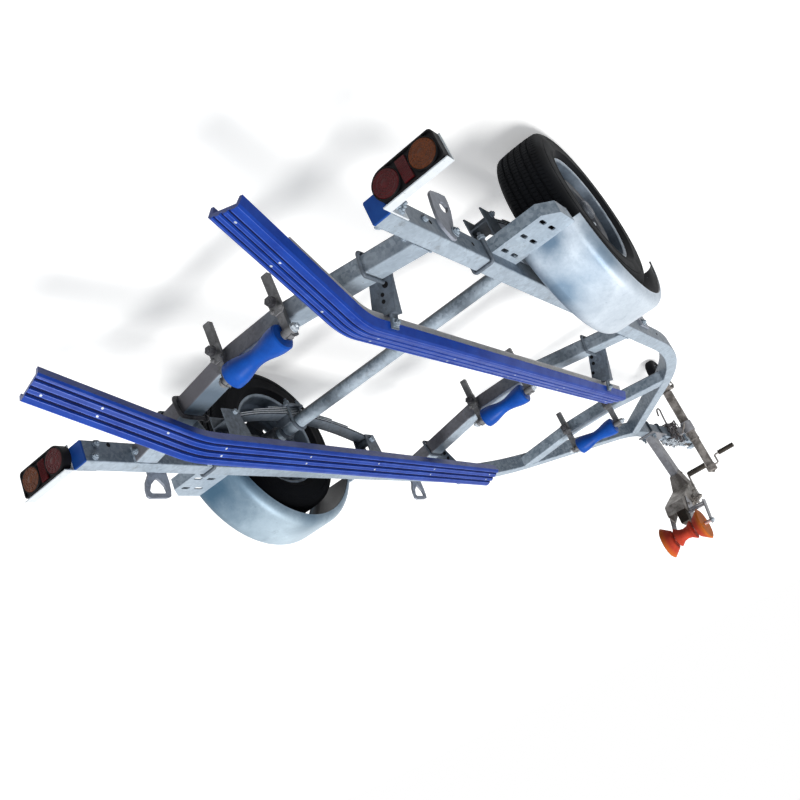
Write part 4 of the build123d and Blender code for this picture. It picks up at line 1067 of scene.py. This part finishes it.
def chain():
    """Chain wound round the drawbar, its slack heaped on top, and the long hook hanging from it."""
    coils, heap = Build(), Build()
    route = []
    for y, low in COILS:
        route += [(-COIL_SIDE, y, COIL_TOP), (COIL_SIDE, y + 4, COIL_TOP)]
        route += [(COIL_SIDE + 2, y + 8, low), (-COIL_SIDE, y + 18, low)]
    linked(coils, route)
    linked(heap, HEAP, 20)
    for y, lean in LOOPS:
        heap.tube(circle((lean, y, 503), (1, 0.4, 0.3), 12.0, 14), LINK_BAR, 8, looped=True)
    coils.tube(smooth(HOOK), 4.4, 10)
    coils.tube(smooth(LATCH), 3.4, 10)
    coils.tube(circle((39, -2500, 488), LEFT, 10, 16), 3.4, 8, looped=True)
    # the turns and the hook are in the shaded copy of the chain's steel
    wound = coils.piece("safety_chain_links", "chain_steel", SHADED_CHAIN)
    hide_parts("safety_chain")
    heap.piece("safety_chain_heap", "chain_steel")


chain()


# ---------------- jack
JACK_X, JACK_Y, JOCKEY_Z = 100, -2700, 98


def jack():
    """Collar, cap ring and nuts of the tube, the clamp's tightening bar, and the jockey wheel's nuts."""
    made, axle = Build(), Build()
    made.turned((JACK_X, JACK_Y, 520), UP, [(0, 26.4), (2, 27.4), (8, 27.4), (10, 24.6)], 40)
    made.turned((JACK_X, JACK_Y, 684), UP, [(0, 24.4), (1, 26), (6, 26), (6.4, 24.6)], 40)
    made.nut((JACK_X, JACK_Y, 726), UP, 15, 5, 10, 3)
    made.tube([(88, -2669, 445), (88, -2652, 445)], 5, 12)
    made.tube(smooth([(66, -2652, 470), (88, -2652, 446), (108, -2652, 424)]), 3.4, 10)
    for z in (432, 458):
        for y in (JACK_Y - 32, JACK_Y + 32):
            made.nut((33, y, z), LEFT, 14, 6, 9, 3)
    made.piece("jack_fittings", "dark_steel")
    for side in (-1, 1):
        axle.nut((JACK_X + side * 39, JACK_Y, JOCKEY_Z), (side, 0, 0), 19, 7, 0, 0)
    axle.piece("jockey_axle_nuts", "dark_steel", body="jack_stand")


jack()


# ---------------- coupling
def coupling():
    """Bolts and nuts of the coupling, and its lever's pin."""
    made = Build()
    for y in (-2930, -2880):
        for side in (-1, 1):
            made.nut((side * 32, y, 444), (side, 0, 0), 19, 8, 12, 4)
    for y in (-2940, -2875):
        made.nut((0, y, 484), UP, 17, 7, 11, 3)
    made.turned((-14, -3074, 474), LEFT, [(0, 6), (28, 6)], 16)
    made.piece("coupling_fittings", "dark_steel")


coupling()


# ---------------- holes seen on plates
# place, axis, radius: drawn on the left and mirrored
HOLES = [
    ((341, 712.6, 505), REAR, 5.5),
    ((346, 712.6, 488), REAR, 5.5),
    ((364, 712.6, 470), REAR, 8.5),
    ((334, -652.4, 514), REAR, 6),
    ((352, -652.4, 484), REAR, 6.5),
    ((358, -652.4, 460), REAR, 6.5),
    ((509, 862, 424), RIGHT, 6.5),
    ((559, 560, 444), LEFT, 6),
    ((559, 760, 440), LEFT, 6),
    ((559, -900, 444), LEFT, 6),
    ((509, -700, 444), RIGHT, 6),
]


def holes():
    """Dark bores of holes that nothing fills."""
    made = Build()
    for place, axis, radius in HOLES:
        made.turned(place, axis, [(-0.2, radius), (0.25, radius)], 24)
    made.both_sides()
    made.piece("frame_holes", "grip_black", HOLE_BLACK)


holes()


# ---------------- floor, light and camera
FLOOR_SIZE, FLOOR_GLOW, WHITE = 200.0, 0.4, (1.0, 1.0, 1.0, 1.0)
FLOOR_SEEN, FLOOR_LIT = (0.9, 0.9, 0.9, 1.0), (0.1, 0.1, 0.1, 1.0)
SKY_COLOUR, SKY_STRENGTH = (0.86, 0.93, 1.0, 1.0), 0.24


def lay_floor():
    """Pale floor, white to the eye, and dull for the light that it sends back."""
    bpy.ops.mesh.primitive_plane_add(size=FLOOR_SIZE)
    floor = bpy.context.object
    floor.name = "floor"
    s = Shader("floor_white", 0.0)
    seen = s.seen()
    s.set(Base_Color=s.mix(seen, FLOOR_LIT, FLOOR_SEEN), Roughness=0.9)
    s.set(Emission_Color=WHITE, Emission_Strength=s.math("MULTIPLY", seen, FLOOR_GLOW))
    floor.data.materials.append(s.material)


def light_world():
    """White behind everything, a soft cool sky for light."""
    world = bpy.data.worlds.new("sky")
    bpy.context.scene.world = world
    world.use_nodes = True
    world.node_tree.nodes.clear()
    sky = Nodes(world.node_tree)
    light = sky.node("ShaderNodeBackground", {"Color": SKY_COLOUR, "Strength": SKY_STRENGTH}).outputs[0]
    white = sky.node("ShaderNodeBackground", {"Color": WHITE}).outputs[0]
    mixed = sky.node("ShaderNodeMixShader", {0: sky.seen(), 1: light, 2: white}).outputs[0]
    sky.node("ShaderNodeOutputWorld", {"Surface": mixed})


# name, place the light comes from, strength, softness in degrees, colour
SUNS = [
    ("sun_over", (0.7, 1.3, 4.2), 2.75, 24.0, (1.0, 0.99, 0.97)),
    ("sun_fill", (-2.0, 3.0, 2.0), 0.3, 60.0, (0.92, 0.96, 1.0)),
]


def hang_suns():
    """Sun lamps aimed at the middle of the floor."""
    for name, place, strength, softness, colour in SUNS:
        data = bpy.data.lights.new(name, "SUN")
        data.energy = strength
        data.angle = math.radians(softness)
        data.color = colour
        lamp = bpy.data.objects.new(name, data)
        lamp.location = place
        lamp.rotation_euler = (-Vector(place)).to_track_quat("-Z", "Y").to_euler()
        bpy.context.scene.collection.objects.link(lamp)


def place_camera():
    """Camera behind the trailer's left corner, upside down as the photograph is."""
    turn = Vector(CAMERA_TURN)
    rows = Matrix.Rotation(turn.length, 3, turn.normalized())
    flip = Vector((-1.0, -1.0, 1.0))
    right, down, ahead = (Vector(a * b for a, b in zip(rows[i], flip)) for i in range(3))
    data = bpy.data.cameras.new("camera")
    data.sensor_width = SENSOR_WIDTH
    data.lens = FOCAL_PIXELS / PICTURE_SIDE * SENSOR_WIDTH
    data.shift_x = 0.5 - PRINCIPAL_POINT[0] / PICTURE_SIDE
    data.shift_y = PRINCIPAL_POINT[1] / PICTURE_SIDE - 0.5
    camera = bpy.data.objects.new("camera", data)
    axes = Matrix((-right, down, -ahead)).transposed().to_4x4()
    camera.matrix_world = Matrix.Translation(CAMERA_PLACE) @ axes
    bpy.context.scene.collection.objects.link(camera)
    bpy.context.scene.camera = camera


lay_floor()
light_world()
hang_suns()
place_camera()
bpy.context.scene.view_settings.view_transform = "Standard"
